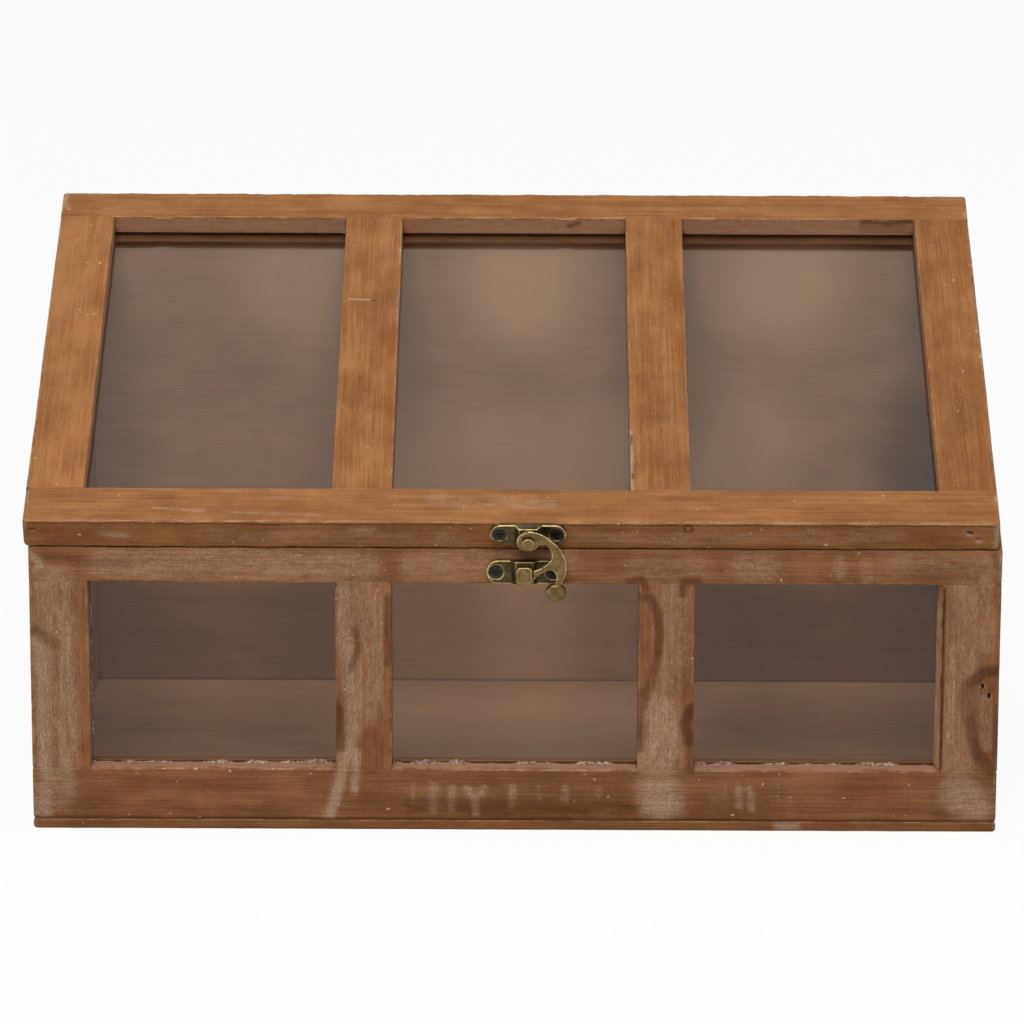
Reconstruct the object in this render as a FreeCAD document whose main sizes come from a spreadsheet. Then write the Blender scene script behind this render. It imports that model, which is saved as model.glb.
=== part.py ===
import FreeCAD, Part
import math
import os
import re
import Sketcher

# Wooden mini greenhouse: a lean-to box of stained slats with a glazed front and a glazed, sloping lid.
# Millimetres and degrees. +Z is up, the front faces -Y, and the origin is the middle of the base's underside.

Vector = FreeCAD.Vector
X_AXIS = Vector(1, 0, 0)
Y_AXIS = Vector(0, 1, 0)

doc = FreeCAD.newDocument("mini_greenhouse")

# Driving dimensions: alias, number, what it measures
DIMENSIONS = [
    ("box_width", 380, "outside width of the box and of the lid"),
    ("box_depth", 208, "outside depth of the box"),
    ("front_height", 115, "top front arris of the box above the table"),
    ("roof_slope", 23, "slope of the lid"),
    ("stock", 13, "thickness of the frame slats and the back board"),
    ("end_thickness", 10, "thickness of the end boards"),
    ("base_thickness", 4, "thickness of the base board"),
    ("arris", 1.2, "radius of the sanded outer arrises"),
    ("base_corner", 2, "radius of the base board's upright corners"),
    ("front_stile_width", 23, "end uprights of the front frame"),
    ("front_mullion_width", 22, "middle uprights of the front frame"),
    ("front_middle_opening", 96.7, "width of the front's middle opening"),
    ("front_bottom_rail_width", 21, "height of the front's lower slat"),
    ("front_top_rail_width", 14, "height of the front's upper slat at its face"),
    ("lid_stile_width", 22.5, "end slats of the lid"),
    ("lid_mullion_width", 23.5, "middle slats of the lid"),
    ("lid_middle_opening", 93.4, "width of the lid's middle opening"),
    ("lid_bottom_rail_width", 21.5, "lower slat of the lid, along the slope"),
    ("lid_top_rail_width", 18, "upper slat of the lid, along the slope"),
    ("lid_gap", 0.3, "air between the closed lid and the box"),
    ("lid_front_lip", 0.5, "how far the lid's underside passes the box front"),
    ("lid_rear_margin", 0.1, "how far the lid's underside stops short of the back board's face"),
    ("lid_shift", -1.6, "how far the lid sits to the right of the box"),
    ("glass_thickness", 2, "thickness of the panes"),
    ("glass_recess", 8, "depth from a frame's face to its glass groove"),
    ("glass_play", 0.2, "play between a pane's face and the groove's wall"),
    ("glass_edge_play", 0.3, "play between a pane's edge and the groove's floor"),
    ("groove_depth", 5, "depth of the glass grooves"),
    ("groove_stop", 10, "where a rail's groove stops short of its end"),
    ("tenon_play", 0.05, "play around the stub tenons in the grooves"),
    ("brad_radius", 0.6, "radius of the brads"),
    ("brad_play", 0.05, "play of a brad in its hole"),
    ("brad_sink", 0.5, "how far a brad is punched below the surface"),
    ("brad_length", 28, "length of the brads in the frame and back"),
    ("base_brad_length", 17, "length of the brads in the base"),
    ("back_brad_margin", 18, "end brads of the back board from its ends"),
    ("base_brad_margin", 30, "end brads of the base board from its ends"),
    ("screw_radius", 1, "radius of a screw's shank"),
    ("screw_head_radius", 2.3, "radius of a screw's head"),
    ("screw_head_height", 1, "height of a screw's cone head"),
    ("screw_length", 7, "length of a screw below its head"),
    ("screw_play", 0.05, "play of a screw in its hole"),
    ("screw_slot_width", 0.6, "width of the cross in a screw's head"),
    ("screw_slot_depth", 0.5, "depth of the cross in a screw's head"),
    ("hinge_margin", 70, "middle of each hinge from the end of the box"),
    ("hinge_length", 25, "length of each hinge"),
    ("hinge_reach", 10.5, "how far a leaf reaches from its pin"),
    ("leaf_thickness", 1, "thickness of a hinge leaf"),
    ("knuckle_radius", 1.7, "outer radius of the knuckles"),
    ("pin_radius", 0.8, "radius of the hinge pins"),
    ("pin_play", 0.05, "running clearance around the pins"),
    ("knuckle_gap", 0.2, "air between the knuckles, and around them"),
    ("knuckle_stand", 0.3, "air between the knuckles and the boards"),
    ("hinge_screw_reach", 6.5, "hinge screws from the pin"),
    ("hinge_screw_offset", 8, "hinge screws from the hinge's middle"),
    ("latch_offset", 5, "latch pivot to the right of the middle"),
    ("latch_height", 8.3, "latch pivot above the lid's lower front arris"),
    ("plate_length", 29.6, "length of the latch plates"),
    ("plate_height", 9.2, "height of the latch plates"),
    ("plate_thickness", 2, "thickness of the latch plates at their ends"),
    ("boss_height", 4.5, "raised middle of the latch plates above the wood"),
    ("boss_top_width", 7, "width of the raised middle at its face"),
    ("boss_foot_width", 10.2, "width of the raised middle at its foot"),
    ("plate_screw_offset", 11, "latch screws from the plate's middle"),
    ("plate_recess_radius", 2.9, "radius of the recess around a latch screw"),
    ("plate_recess_depth", 0.6, "depth of that recess"),
    ("rivet_radius", 1.3, "radius of the latch rivet"),
    ("rivet_head_radius", 2.3, "radius of the rivet's head"),
    ("rivet_head_height", 1.2, "height of the rivet's head"),
    ("rivet_fit", 0.02, "play of the rivet and the post in their plates"),
    ("rivet_play", 0.06, "running clearance of the hook around the rivet"),
    ("hook_lift", 0.1, "air between the hook's eye and what is each side of it"),
    ("hook_thickness", 2, "thickness of the hook"),
    ("hook_eye_radius", 4.4, "outer radius of the hook's eye"),
    ("hook_reach", 21.5, "size that the hook's outline is drawn to"),
    ("hook_bend", 4.6, "where the hook bends, below the pivot"),
    ("hook_tilt", 6, "lean of the hook's arm below the bend"),
    ("tail_radius", 4, "radius of the hook's round tail"),
    ("tail_thickness", 3, "thickness of the hook's round tail"),
    ("tail_rounding", 1, "rounding of the tail's edges"),
    ("post_radius", 2, "radius of the catch post's neck"),
    ("post_neck_length", 1.6, "neck of the catch post in front of its plate"),
    ("post_head_width", 5.9, "width of the catch post's head"),
    ("post_head_height", 6.5, "height of the catch post's head"),
    ("post_head_thickness", 1.9, "thickness of the catch post's head"),
    ("post_head_corner", 1.6, "corner radius of the catch post's head"),
    ("catch_clearance", 0.6, "air between the hook's tongue and the post's head"),
]
KNUCKLES = 5

# Sizes and places that follow from the driving ones
DERIVED = {
    "half_width": "box_width / 2",
    "half_depth": "box_depth / 2",
    "front_rise": "front_height - base_thickness",
    "back_height": "front_height + box_depth * tan(roof_slope)",
    "lid_rise": "(box_depth + lid_front_lip - lid_rear_margin) / cos(roof_slope)",
    "bevel_rise": "stock * tan(roof_slope)",
    "groove_end": "glass_recess + glass_thickness + 2 * glass_play",
    "pane_bite": "groove_depth - glass_edge_play",
    # the lid's upper front arris, which is the origin of the lid's own axes
    "eave_y": "-half_depth - lid_front_lip - stock * sin(roof_slope)",
    "eave_z": "front_height + lid_gap / cos(roof_slope) - lid_front_lip * tan(roof_slope)"
              " + stock * cos(roof_slope)",
    # the hinge pins stand off the back board's plane and the lid's rear edge by the same amount
    "pin_stand": "knuckle_radius + knuckle_stand",
    "pin_y": "half_depth + pin_stand",
    "pin_z": "back_height + lid_gap / cos(roof_slope) - lid_rear_margin * tan(roof_slope)"
             " + (pin_stand * (1 - cos(roof_slope)) - lid_rear_margin * cos(roof_slope)) / sin(roof_slope)",
    "pin_depth": "stock + (lid_rear_margin + pin_stand * (1 - cos(roof_slope))) / sin(roof_slope)",
    "hinge_offset": "half_width - hinge_margin",
    "knuckle_width": f"hinge_length / {KNUCKLES}",
    # the hook's pivot, at the back of the hook's eye, just in front of the upper plate's raised middle
    "pivot_drop": "stock - latch_height",
    "pivot_lift": "boss_height + hook_lift",
    "plate_y": "eave_y + pivot_drop * sin(roof_slope)",
    "plate_z": "eave_z - pivot_drop * cos(roof_slope)",
    "pivot_y": "plate_y - pivot_lift * cos(roof_slope)",
    "pivot_z": "plate_z - pivot_lift * sin(roof_slope)",
    # the catch post stands just left of the tip of the hook's tongue
    "tongue_x": "0.1 * hook_reach",
    "tongue_drop": "0.69 * hook_reach",
    "catch_x": "latch_offset + tongue_x - catch_clearance - post_head_width / 2",
    "catch_z": "pivot_z - tongue_drop",
}

sizes = doc.addObject("Spreadsheet::Sheet", "sizes")
for row, (alias, number, meaning) in enumerate(DIMENSIONS, start=1):
    sizes.set(f"A{row}", meaning)
    sizes.set(f"B{row}", str(number))
    sizes.setAlias(f"B{row}", alias)
doc.recompute()

ALIASES = {alias for alias, number, meaning in DIMENSIONS}
WORD = re.compile(r"[a-z_]+")


def bound(text):
    """Write an expression in terms of the sheet's cells."""
    def cell(match):
        word = match.group(0)
        if word in DERIVED:
            return "(" + bound(DERIVED[word]) + ")"
        return "sizes." + word if word in ALIASES else word
    return WORD.sub(cell, str(text))


def value(text):
    """The number that an expression has now."""
    return float(sizes.evalExpression(bound(text)))


def bind(thing, **properties):
    for name, text in properties.items():
        thing.setExpression(name, bound(text))


def place(thing, at, angle="0", axis=X_AXIS):
    """Place a thing at a bound point, turned about an axis by a bound angle."""
    thing.Placement = FreeCAD.Placement(Vector(), FreeCAD.Rotation(axis, 0))
    for letter, text in zip("xyz", at):
        thing.setExpression("Placement.Base." + letter, bound(text))
    thing.setExpression("Placement.Rotation.Angle", bound(angle))
    return thing


def block(name, low, high):
    """A box between two bound corners."""
    box = doc.addObject("Part::Box", name)
    length, width, height = [f"({top}) - ({bottom})" for bottom, top in zip(low, high)]
    bind(box, Length=length, Width=width, Height=height)
    return place(box, low)


def rod(name, radius, length, at, angle="0", axis=X_AXIS):
    """A cylinder that starts at a point and runs along Z, turned about an axis."""
    cylinder = doc.addObject("Part::Cylinder", name)
    bind(cylinder, Radius=radius, Height=length)
    return place(cylinder, at, angle, axis)


def cone(name, radius_1, radius_2, height, at=("0", "0", "0")):
    made = doc.addObject("Part::Cone", name)
    bind(made, Radius1=radius_1, Radius2=radius_2, Height=height)
    return place(made, at)


def union(name, parts):
    fuse = doc.addObject("Part::MultiFuse", name)
    fuse.Shapes = parts
    fuse.Refine = True
    return fuse


def cut(name, base, tools):
    """Cut one tool or several from a base."""
    if not tools:
        return base
    difference = doc.addObject("Part::Cut", name)
    difference.Base = base
    difference.Tool = tools[0] if len(tools) == 1 else union(name + "_tools", tools)
    difference.Refine = True
    return difference


def group(name, solids):
    """Separate like solids that share one node."""
    compound = doc.addObject("Part::Compound", name)
    compound.Links = solids
    return compound


def near(number, target):
    return abs(number - target) < 0.01


def rounded(name, base, radius, chosen):
    """Round the edges whose middle point, in the base's own axes, passes a test."""
    doc.recompute()
    edges = []
    for number, edge in enumerate(base.Shape.Edges, start=1):
        middle = edge.valueAt((edge.FirstParameter + edge.LastParameter) / 2)
        if chosen(middle):
            edges.append((number, value(radius), value(radius)))
    fillet = doc.addObject("Part::Fillet", name)
    fillet.Base = base
    fillet.Edges = edges
    return fillet


def sketch_in(body, role):
    """An empty sketch on one of the body's own origin planes."""
    sketch = body.newObject("Sketcher::SketchObject", body.Name + "_sketch")
    plane = [feature for feature in body.Origin.OriginFeatures if feature.Role == role][0]
    sketch.AttachmentSupport = [(plane, "")]
    sketch.MapMode = "FlatFace"
    return sketch


def arc_or_line(start, end, radius):
    """The side of an outline between two corners: an arc that bulges left where the radius is positive."""
    if radius == 0:
        return Part.LineSegment(start, end)
    chord = end - start
    across = Vector(-chord.y, chord.x, 0).normalize()
    rise = abs(radius) - math.sqrt(radius ** 2 - (chord.Length / 2) ** 2)
    middle = (start + end) * 0.5 + across * math.copysign(rise, radius)
    return Part.Arc(start, middle, end)


def end_at(sketch, side, corner):
    """Which end of a side, 1 or 2, lies on a corner: an arc may be stored backwards."""
    return min((1, 2), key=lambda end: (sketch.getPoint(side, end) - corner).Length)


def padded(name, role, outline, length, centred=False):
    """A body with one sketch, padded along its plane's normal. Each corner of the outline has its place
    and the radius of the side that follows it, all bound."""
    body = doc.addObject("PartDesign::Body", name)
    sketch = sketch_in(body, role)
    corners = [Vector(value(across), value(up), 0) for across, up, radius in outline]
    count = len(corners)
    for number, (across, up, radius) in enumerate(outline):
        side = arc_or_line(corners[number], corners[(number + 1) % count], value(radius))
        sketch.addGeometry(side, False)
    for number, corner in enumerate(corners):
        before = (number - 1) % count
        joint = (before, end_at(sketch, before, corner), number, end_at(sketch, number, corner))
        sketch.addConstraint(Sketcher.Constraint("Coincident", *joint))
    for number, (across, up, radius) in enumerate(outline):
        corner = corners[number]
        start = end_at(sketch, number, corner)
        for kind, text, amount in (("DistanceX", across, corner.x), ("DistanceY", up, corner.y)):
            datum = sketch.addConstraint(Sketcher.Constraint(kind, -1, 1, number, start, amount))
            sketch.setExpression(f"Constraints[{datum}]", bound(text))
        if value(radius) != 0:
            datum = sketch.addConstraint(Sketcher.Constraint("Radius", number, abs(value(radius))))
            sketch.setExpression(f"Constraints[{datum}]", bound(f"abs({radius})"))
    pad = body.newObject("PartDesign::Pad", name + "_pad")
    pad.Profile = sketch
    pad.SideType = "Symmetric" if centred else "One side"
    bind(pad, Length=length)
    return body


def straight(points):
    """An outline with straight sides only."""
    return [(across, up, "0") for across, up in points]


pieces = {}


def keep(label, thing):
    """Name a finished sub-part."""
    thing.Label = label
    pieces[label] = thing
    return thing


# Where pieces stand. A frame's own axes are: x across, y in from its outer face, z up the frame.

def on_front(thing, at=("0", "0", "0")):
    """Set a piece of the front frame on the base board, its face in line with the base's front edge."""
    across, inwards, up = at
    return place(thing, (across, f"-half_depth + {inwards}", f"base_thickness + {up}"))


def on_lid(thing, at=("0", "0", "0")):
    """Lay a piece that is drawn in the lid's own axes on the slope."""
    across, inwards, up = at
    across = f"lid_shift + {across}"
    depth = f"eave_y + ({inwards}) * sin(roof_slope) + ({up}) * cos(roof_slope)"
    height = f"eave_z - ({inwards}) * cos(roof_slope) + ({up}) * sin(roof_slope)"
    return place(thing, (across, depth, height), "roof_slope - 90")


# Brads: each is a straight pin in a hole of its own through the pieces that it joins

def brads(name, spots, length, sink, angle="0"):
    """Pins that start below the surface at the spots: sink is the way in, in steps of x, y and z."""
    pins = []
    for number, spot in enumerate(spots):
        start = [f"{text} + {step} * brad_sink" for text, step in zip(spot, sink)]
        pins.append(rod(f"{name}_{number}", "brad_radius", length, start, angle))
    return pins


def drills(name, spots, length, angle="0"):
    """The holes of such pins."""
    return [rod(f"{name}_{number}", "brad_radius + brad_play", f"{length} + 2 * brad_sink", spot, angle)
            for number, spot in enumerate(spots)]


SIDES = (("left", "-"), ("right", ""))
END_X = "(half_width - end_thickness / 2)"
front_brad_heights = ("front_bottom_rail_width / 2", "front_rise / 2",
                      "front_rise - front_top_rail_width / 3")
back_brad_heights = ("base_thickness + back_brad_margin", "front_height / 2", "front_height",
                     "back_height - 2 * back_brad_margin")
front_drills = {}
side_board_drills = {}
for side, sign in SIDES:
    in_frame = [(sign + END_X, "0", height) for height in front_brad_heights]
    in_box = [(sign + END_X, "-half_depth", f"base_thickness + {height}") for height in front_brad_heights]
    in_back = [(sign + END_X, "half_depth", height) for height in back_brad_heights]
    in_base = [(sign + END_X, f"{step} * (half_depth - base_brad_margin)", "0") for step in (-1, 1)]
    front_drills[side] = drills(f"front_drill_{side}", in_frame, "brad_length", "-90")
    side_board_drills[side] = (drills(f"side_drill_front_{side}", in_box, "brad_length", "-90")
                               + drills(f"side_drill_back_{side}", in_back, "brad_length", "90")
                               + drills(f"side_drill_base_{side}", in_base, "base_brad_length"))

BASE_STEPS = (-1, 0, 1)
BASE_EDGE = "(half_depth - stock / 2)"
base_spots = {
    "front": [(f"{step} * (half_width - base_brad_margin)", "-" + BASE_EDGE, "0") for step in BASE_STEPS],
    "back": [(f"{step} * (half_width - base_brad_margin)", BASE_EDGE, "0") for step in BASE_STEPS],
    "side": [(sign + END_X, f"{step} * (half_depth - base_brad_margin)", "0")
             for side, sign in SIDES for step in (-1, 1)],
}
base_drills = {side: drills("base_drill_" + side, spots, "base_brad_length")
               for side, spots in base_spots.items()}
front_rail_drills = drills("front_rail_drill",
                           [(across, "stock / 2", "-base_thickness") for across, y, z in base_spots["front"]],
                           "base_brad_length")

all_front_spots = [(sign + END_X, "-half_depth", f"base_thickness + {height}")
                   for side, sign in SIDES for height in front_brad_heights]
all_back_spots = [(sign + END_X, "half_depth", height) for side, sign in SIDES for height in back_brad_heights]
keep("front_brads", group("front_brads", brads("front_brad", all_front_spots, "brad_length", (0, 1, 0), "-90")))
keep("back_brads", group("back_brads", brads("back_brad", all_back_spots, "brad_length", (0, -1, 0), "90")))
keep("base_brads", group("base_brads", brads("base_brad", sum(base_spots.values(), []),
                                             "base_brad_length", (0, 0, 1))))


# Screws: a cone head with a cross, a straight shank and a short point

def screw(name, at, angle):
    """A screw whose head's face is at a point and whose shank runs along the turned Z."""
    point_start = "screw_head_height + screw_length - 2 * screw_radius"
    body = union(name + "_body", [
        cone(name + "_head", "screw_head_radius", "screw_radius", "screw_head_height"),
        rod(name + "_shank", "screw_radius", "screw_length - 2 * screw_radius",
            ("0", "0", "screw_head_height")),
        cone(name + "_point", "screw_radius", "screw_radius / 4", "2 * screw_radius",
             ("0", "0", point_start)),
    ])
    arm = "screw_head_radius * 0.7"
    half = "screw_slot_width / 2"
    cross = [
        block(name + "_slot_x", (f"-{arm}", f"-{half}", "-screw_slot_depth"), (arm, half, "screw_slot_depth")),
        block(name + "_slot_y", (f"-{half}", f"-{arm}", "-screw_slot_depth"), (half, arm, "screw_slot_depth")),
    ]
    return place(cut(name, body, cross), at, angle)


def screw_hole(name, at, angle):
    """The hole that takes a screw: its seat in the metal and its pilot in the wood."""
    hole = union(name, [
        cone(name + "_seat", "screw_head_radius + screw_play", "screw_radius + screw_play",
             "screw_head_height"),
        rod(name + "_pilot", "screw_radius + screw_play", "screw_length + screw_play",
            ("0", "0", "screw_head_height")),
    ])
    return place(hole, at, angle)


# Hinges: two butt hinges, one leaf on the back board and one on the lid's rear edge

hinge_screws_x = {side: [f"{sign}hinge_offset + {step} * hinge_screw_offset" for step in (-1, 1)]
                  for side, sign in SIDES}
box_hinge_holes = {}
lid_hinge_holes = {}
box_hinge_screws = []
lid_hinge_screws = []
for side, places in hinge_screws_x.items():
    box_spots = [(across, "half_depth + leaf_thickness", "pin_z - hinge_screw_reach") for across in places]
    lid_spots = [(f"{across} - lid_shift", "pin_depth - hinge_screw_reach", "lid_rise + leaf_thickness")
                 for across in places]
    box_hinge_holes[side] = [screw_hole(f"box_hinge_hole_{side}_{n}", spot, "90")
                             for n, spot in enumerate(box_spots)]
    lid_hinge_holes[side] = [screw_hole(f"lid_hinge_hole_{side}_{n}", spot, "180")
                             for n, spot in enumerate(lid_spots)]
    box_hinge_screws += [screw(f"box_hinge_screw_{side}_{n}", spot, "90") for n, spot in enumerate(box_spots)]
    lid_hinge_screws += [screw(f"lid_hinge_screw_{side}_{n}", spot, "180") for n, spot in enumerate(lid_spots)]
keep("hinge_screws_box", group("hinge_screws_box", box_hinge_screws))
keep("hinge_screws_lid", on_lid(group("hinge_screws_lid", lid_hinge_screws)))


def hinge_leaf(name, middle, plate_low, plate_high, pin_at, own, holes):
    """A leaf: its plate, its own knuckles, room for the other leaf's, the pin's bore and screw seats."""
    start = f"{middle} - hinge_length / 2"
    plate = block(name + "_plate", (start, *plate_low), (f"{middle} + hinge_length / 2", *plate_high))
    barrel = rod(name + "_barrel", "knuckle_radius", "hinge_length", (start, *pin_at), "90", Y_AXIS)
    room = [rod(f"{name}_room_{number}", "pin_stand + knuckle_gap", "knuckle_width + knuckle_gap",
                (f"{start} + {number} * knuckle_width - knuckle_gap / 2", *pin_at), "90", Y_AXIS)
            for number in range(KNUCKLES) if number not in own]
    bore = rod(name + "_bore", "pin_radius + pin_play", "hinge_length + 2 * knuckle_gap",
               (f"{start} - knuckle_gap", *pin_at), "90", Y_AXIS)
    return cut(name, union(name + "_blank", [plate, barrel]), room + [bore] + holes)


for side, sign in SIDES:
    middle = f"{sign}hinge_offset"
    keep("hinge_leaf_box_" + side,
         hinge_leaf("hinge_leaf_box_" + side, middle, ("half_depth", "pin_z - hinge_reach"),
                    ("half_depth + leaf_thickness", "pin_z"), ("pin_y", "pin_z"), (0, 2, 4),
                    box_hinge_holes[side]))
    keep("hinge_leaf_lid_" + side,
         on_lid(hinge_leaf("hinge_leaf_lid_" + side, f"{middle} - lid_shift",
                           ("pin_depth - hinge_reach", "lid_rise"),
                           ("pin_depth", "lid_rise + leaf_thickness"),
                           ("pin_depth", "lid_rise + pin_stand"), (1, 3), lid_hinge_holes[side])))
    keep("hinge_pin_" + side,
         rod("hinge_pin_" + side, "pin_radius", "hinge_length + 2 * pin_play",
             (f"{middle} - hinge_length / 2 - pin_play", "pin_y", "pin_z"), "90", Y_AXIS))


# Swing latch: a plate with the hook on the lid's front edge, a plate with a post on the box.
# A plate's own axes are: x along it, y in from its back, so that its face is towards -y, and z up.

def on_fascia(thing):
    """Set a latch piece on the lid's front edge."""
    return place(thing, ("latch_offset", "plate_y", "plate_z"), "roof_slope")


def on_box_front(thing):
    """Set a latch piece on the top rail of the front frame."""
    return place(thing, ("catch_x", "-half_depth", "catch_z"))


plate_screw_spots = [(f"{step} * plate_screw_offset", "-plate_thickness + plate_recess_depth", "0")
                     for step in (-1, 1)]


def plate_screws(name):
    return [screw(f"{name}_{number}", spot, "-90") for number, spot in enumerate(plate_screw_spots)]


def plate_holes(name):
    return [screw_hole(f"{name}_{number}", spot, "-90") for number, spot in enumerate(plate_screw_spots)]


def latch_plate(name, shaft_radius):
    """A plate with round ends, a raised middle, two screw recesses and a hole for its shaft."""
    plan = [("-plate_length / 2", "0"), ("-plate_length / 2", "-plate_thickness"),
            ("-boss_foot_width / 2", "-plate_thickness"), ("-boss_top_width / 2", "-boss_height"),
            ("boss_top_width / 2", "-boss_height"), ("boss_foot_width / 2", "-plate_thickness"),
            ("plate_length / 2", "-plate_thickness"), ("plate_length / 2", "0")]
    raised = padded(name + "_raised", "XY_Plane", straight(plan), "plate_height", centred=True)
    radius = "plate_height / 2"
    centre = f"(plate_length / 2 - {radius})"
    outline = union(name + "_outline", [
        block(name + "_bar", ("-" + centre, "-2 * boss_height", "-" + radius), (centre, "boss_height", radius)),
        rod(name + "_end_left", radius, "3 * boss_height", ("-" + centre, "-2 * boss_height", "0"), "-90"),
        rod(name + "_end_right", radius, "3 * boss_height", (centre, "-2 * boss_height", "0"), "-90"),
    ])
    shaped = doc.addObject("Part::Common", name + "_shaped")
    shaped.Base = raised
    shaped.Tool = outline
    recesses = [rod(f"{name}_recess_{number}", "plate_recess_radius", "boss_height", (across, inwards, up), "90")
                for number, (across, inwards, up) in enumerate(plate_screw_spots)]
    shaft = rod(name + "_shaft", f"{shaft_radius} + rivet_fit", "3 * boss_height",
                ("0", "-2 * boss_height", "0"), "-90")
    return cut(name, shaped, recesses + plate_holes(name + "_hole") + [shaft])


keep("hook_plate", on_fascia(latch_plate("hook_plate", "rivet_radius")))
keep("hook_plate_screws", on_fascia(group("hook_plate_screws", plate_screws("hook_plate_screw"))))
head_start = "(pivot_lift + hook_thickness + hook_lift)"
keep("hook_rivet", on_fascia(union("hook_rivet", [
    rod("rivet_shank", "rivet_radius", head_start, ("0", "-" + head_start, "0"), "-90"),
    rod("rivet_head", "rivet_head_radius", "rivet_head_height",
        ("0", f"-{head_start} - rivet_head_height", "0"), "-90"),
])))

keep("catch_plate", on_box_front(latch_plate("catch_plate", "post_radius")))
keep("catch_screws", on_box_front(group("catch_screws", plate_screws("catch_screw"))))
neck_end = "(boss_height + post_neck_length)"
post_neck = rod("post_neck", "post_radius", neck_end, ("0", "-" + neck_end, "0"), "-90")
post_block = block("post_block",
                   ("-post_head_width / 2", f"-{neck_end} - post_head_thickness", "-post_head_height / 2"),
                   ("post_head_width / 2", "-" + neck_end, "post_head_height / 2"))
post_head = rounded("post_head", post_block, "post_head_corner",
                    lambda middle: near(abs(middle.x), value("post_head_width / 2"))
                    and near(abs(middle.z), value("post_head_height / 2")))
keep("catch_post", on_box_front(union("catch_post", [post_neck, post_head])))

# The hook, seen from the front in its own axes: x and z from the pivot, y in from the back of its eye.
# The tail's middle, and the arm's corners, in shares of the reach, each corner with the radius of the side
# that follows it.
TAIL = (0.505, -1.02)
ARM = [
    (0.00, 0.186, 0.62),
    (0.423, -0.014, 0.72),
    (0.698, -0.512, 0.60),
    (0.623, -0.819, 0),
    (0.577, -0.95, 0),
    (0.450, -0.95, 0),
    (0.502, -0.833, 0),
    (0.521, -0.735, -0.16),
    (0.414, -0.581, -0.45),
    (0.112, -0.772, 0),
    (0.100, -0.605, -0.55),
    (0.423, -0.391, -0.28),
    (0.330, -0.098, 0),
    (0.00, -0.116, 0),
]
arm_outline = [(f"{across} * hook_reach", f"{up} * hook_reach", f"{radius} * hook_reach")
               for across, up, radius in ARM]
arm_front = padded("arm_front", "XZ_Plane", arm_outline, "2 * hook_reach", centred=True)

# The same arm from the side: a strip that follows the lid's front edge at the eye and then bends upright
EYE_TOP = "1.5 * hook_eye_radius"
ARM_END = "1.5 * hook_reach"
mitre = "(hook_thickness / (1 + cos(roof_slope - hook_tilt)))"
bend_y = "hook_bend * sin(roof_slope)"
bend_z = "-hook_bend * cos(roof_slope)"
end_y = f"({bend_y} + {ARM_END} * sin(hook_tilt))"
end_z = f"({bend_z} - {ARM_END} * cos(hook_tilt))"
strip = [
    (f"-{EYE_TOP} * sin(roof_slope)", f"{EYE_TOP} * cos(roof_slope)"),
    (bend_y, bend_z),
    (end_y, end_z),
    (f"{end_y} - hook_thickness * cos(hook_tilt)", f"{end_z} - hook_thickness * sin(hook_tilt)"),
    (f"{bend_y} - {mitre} * (cos(roof_slope) + cos(hook_tilt))",
     f"{bend_z} - {mitre} * (sin(roof_slope) + sin(hook_tilt))"),
    (f"-{EYE_TOP} * sin(roof_slope) - hook_thickness * cos(roof_slope)",
     f"{EYE_TOP} * cos(roof_slope) - hook_thickness * sin(roof_slope)"),
]
arm_side = padded("arm_side", "YZ_Plane", straight(strip), "3 * hook_reach", centred=True)
arm = doc.addObject("Part::Common", "arm")
arm.Base = arm_front
arm.Tool = arm_side
eye = rod("eye", "hook_eye_radius", "hook_thickness", ("0", "0", "0"), "roof_slope + 90")
# The tail lies parallel to the eye, its middle on the middle plane of the arm
tail_z = f"({TAIL[1]} * hook_reach)"
arm_middle = f"({bend_y} + ({bend_z} - {tail_z}) * tan(hook_tilt) - hook_thickness / 2 / cos(hook_tilt))"
tail_disc = rod("tail_disc", "tail_radius", "tail_thickness", ("0", "0", "0"))
tail = place(rounded("tail", tail_disc, "tail_rounding",
                     lambda middle: middle.x < 0 and near(middle.y, 0)),
             (f"{TAIL[0]} * hook_reach", f"{arm_middle} + tail_thickness / 2 * cos(roof_slope)",
              f"{tail_z} + tail_thickness / 2 * sin(roof_slope)"), "roof_slope + 90")
eye_hole = rod("eye_hole", "rivet_radius + rivet_play", "4 * hook_thickness",
               ("0", "2 * hook_thickness * cos(roof_slope)", "2 * hook_thickness * sin(roof_slope)"),
               "roof_slope + 90")
keep("swing_hook", place(cut("swing_hook", union("hook_body", [arm, eye, tail]), [eye_hole]),
                         ("latch_offset", "pivot_y", "pivot_z")))


# Boards: the base, the two ends with their sloped tops, and the back

base_blank = block("base_blank", ("-half_width", "-half_depth", "0"), ("half_width", "half_depth", "base_thickness"))
base_drilled = cut("base_drilled", base_blank, sum(base_drills.values(), []))
keep("base_board", rounded("base_board", base_drilled, "base_corner",
                           lambda middle: near(abs(middle.x), value("half_width"))
                           and near(abs(middle.y), value("half_depth"))))

side_front = "(-half_depth + stock)"
side_back = "(half_depth - stock)"
side_outline = [(side_front, "base_thickness"), (side_back, "base_thickness"),
                (side_back, "back_height - bevel_rise"), (side_front, "front_height + bevel_rise")]
for side, x_low in (("left", "-half_width"), ("right", "half_width - end_thickness")):
    name = "side_board_" + side
    blank = padded(name + "_blank", "YZ_Plane", straight(side_outline), "end_thickness")
    keep(name, cut(name, place(blank, (x_low, "0", "0")), side_board_drills[side]))

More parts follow.
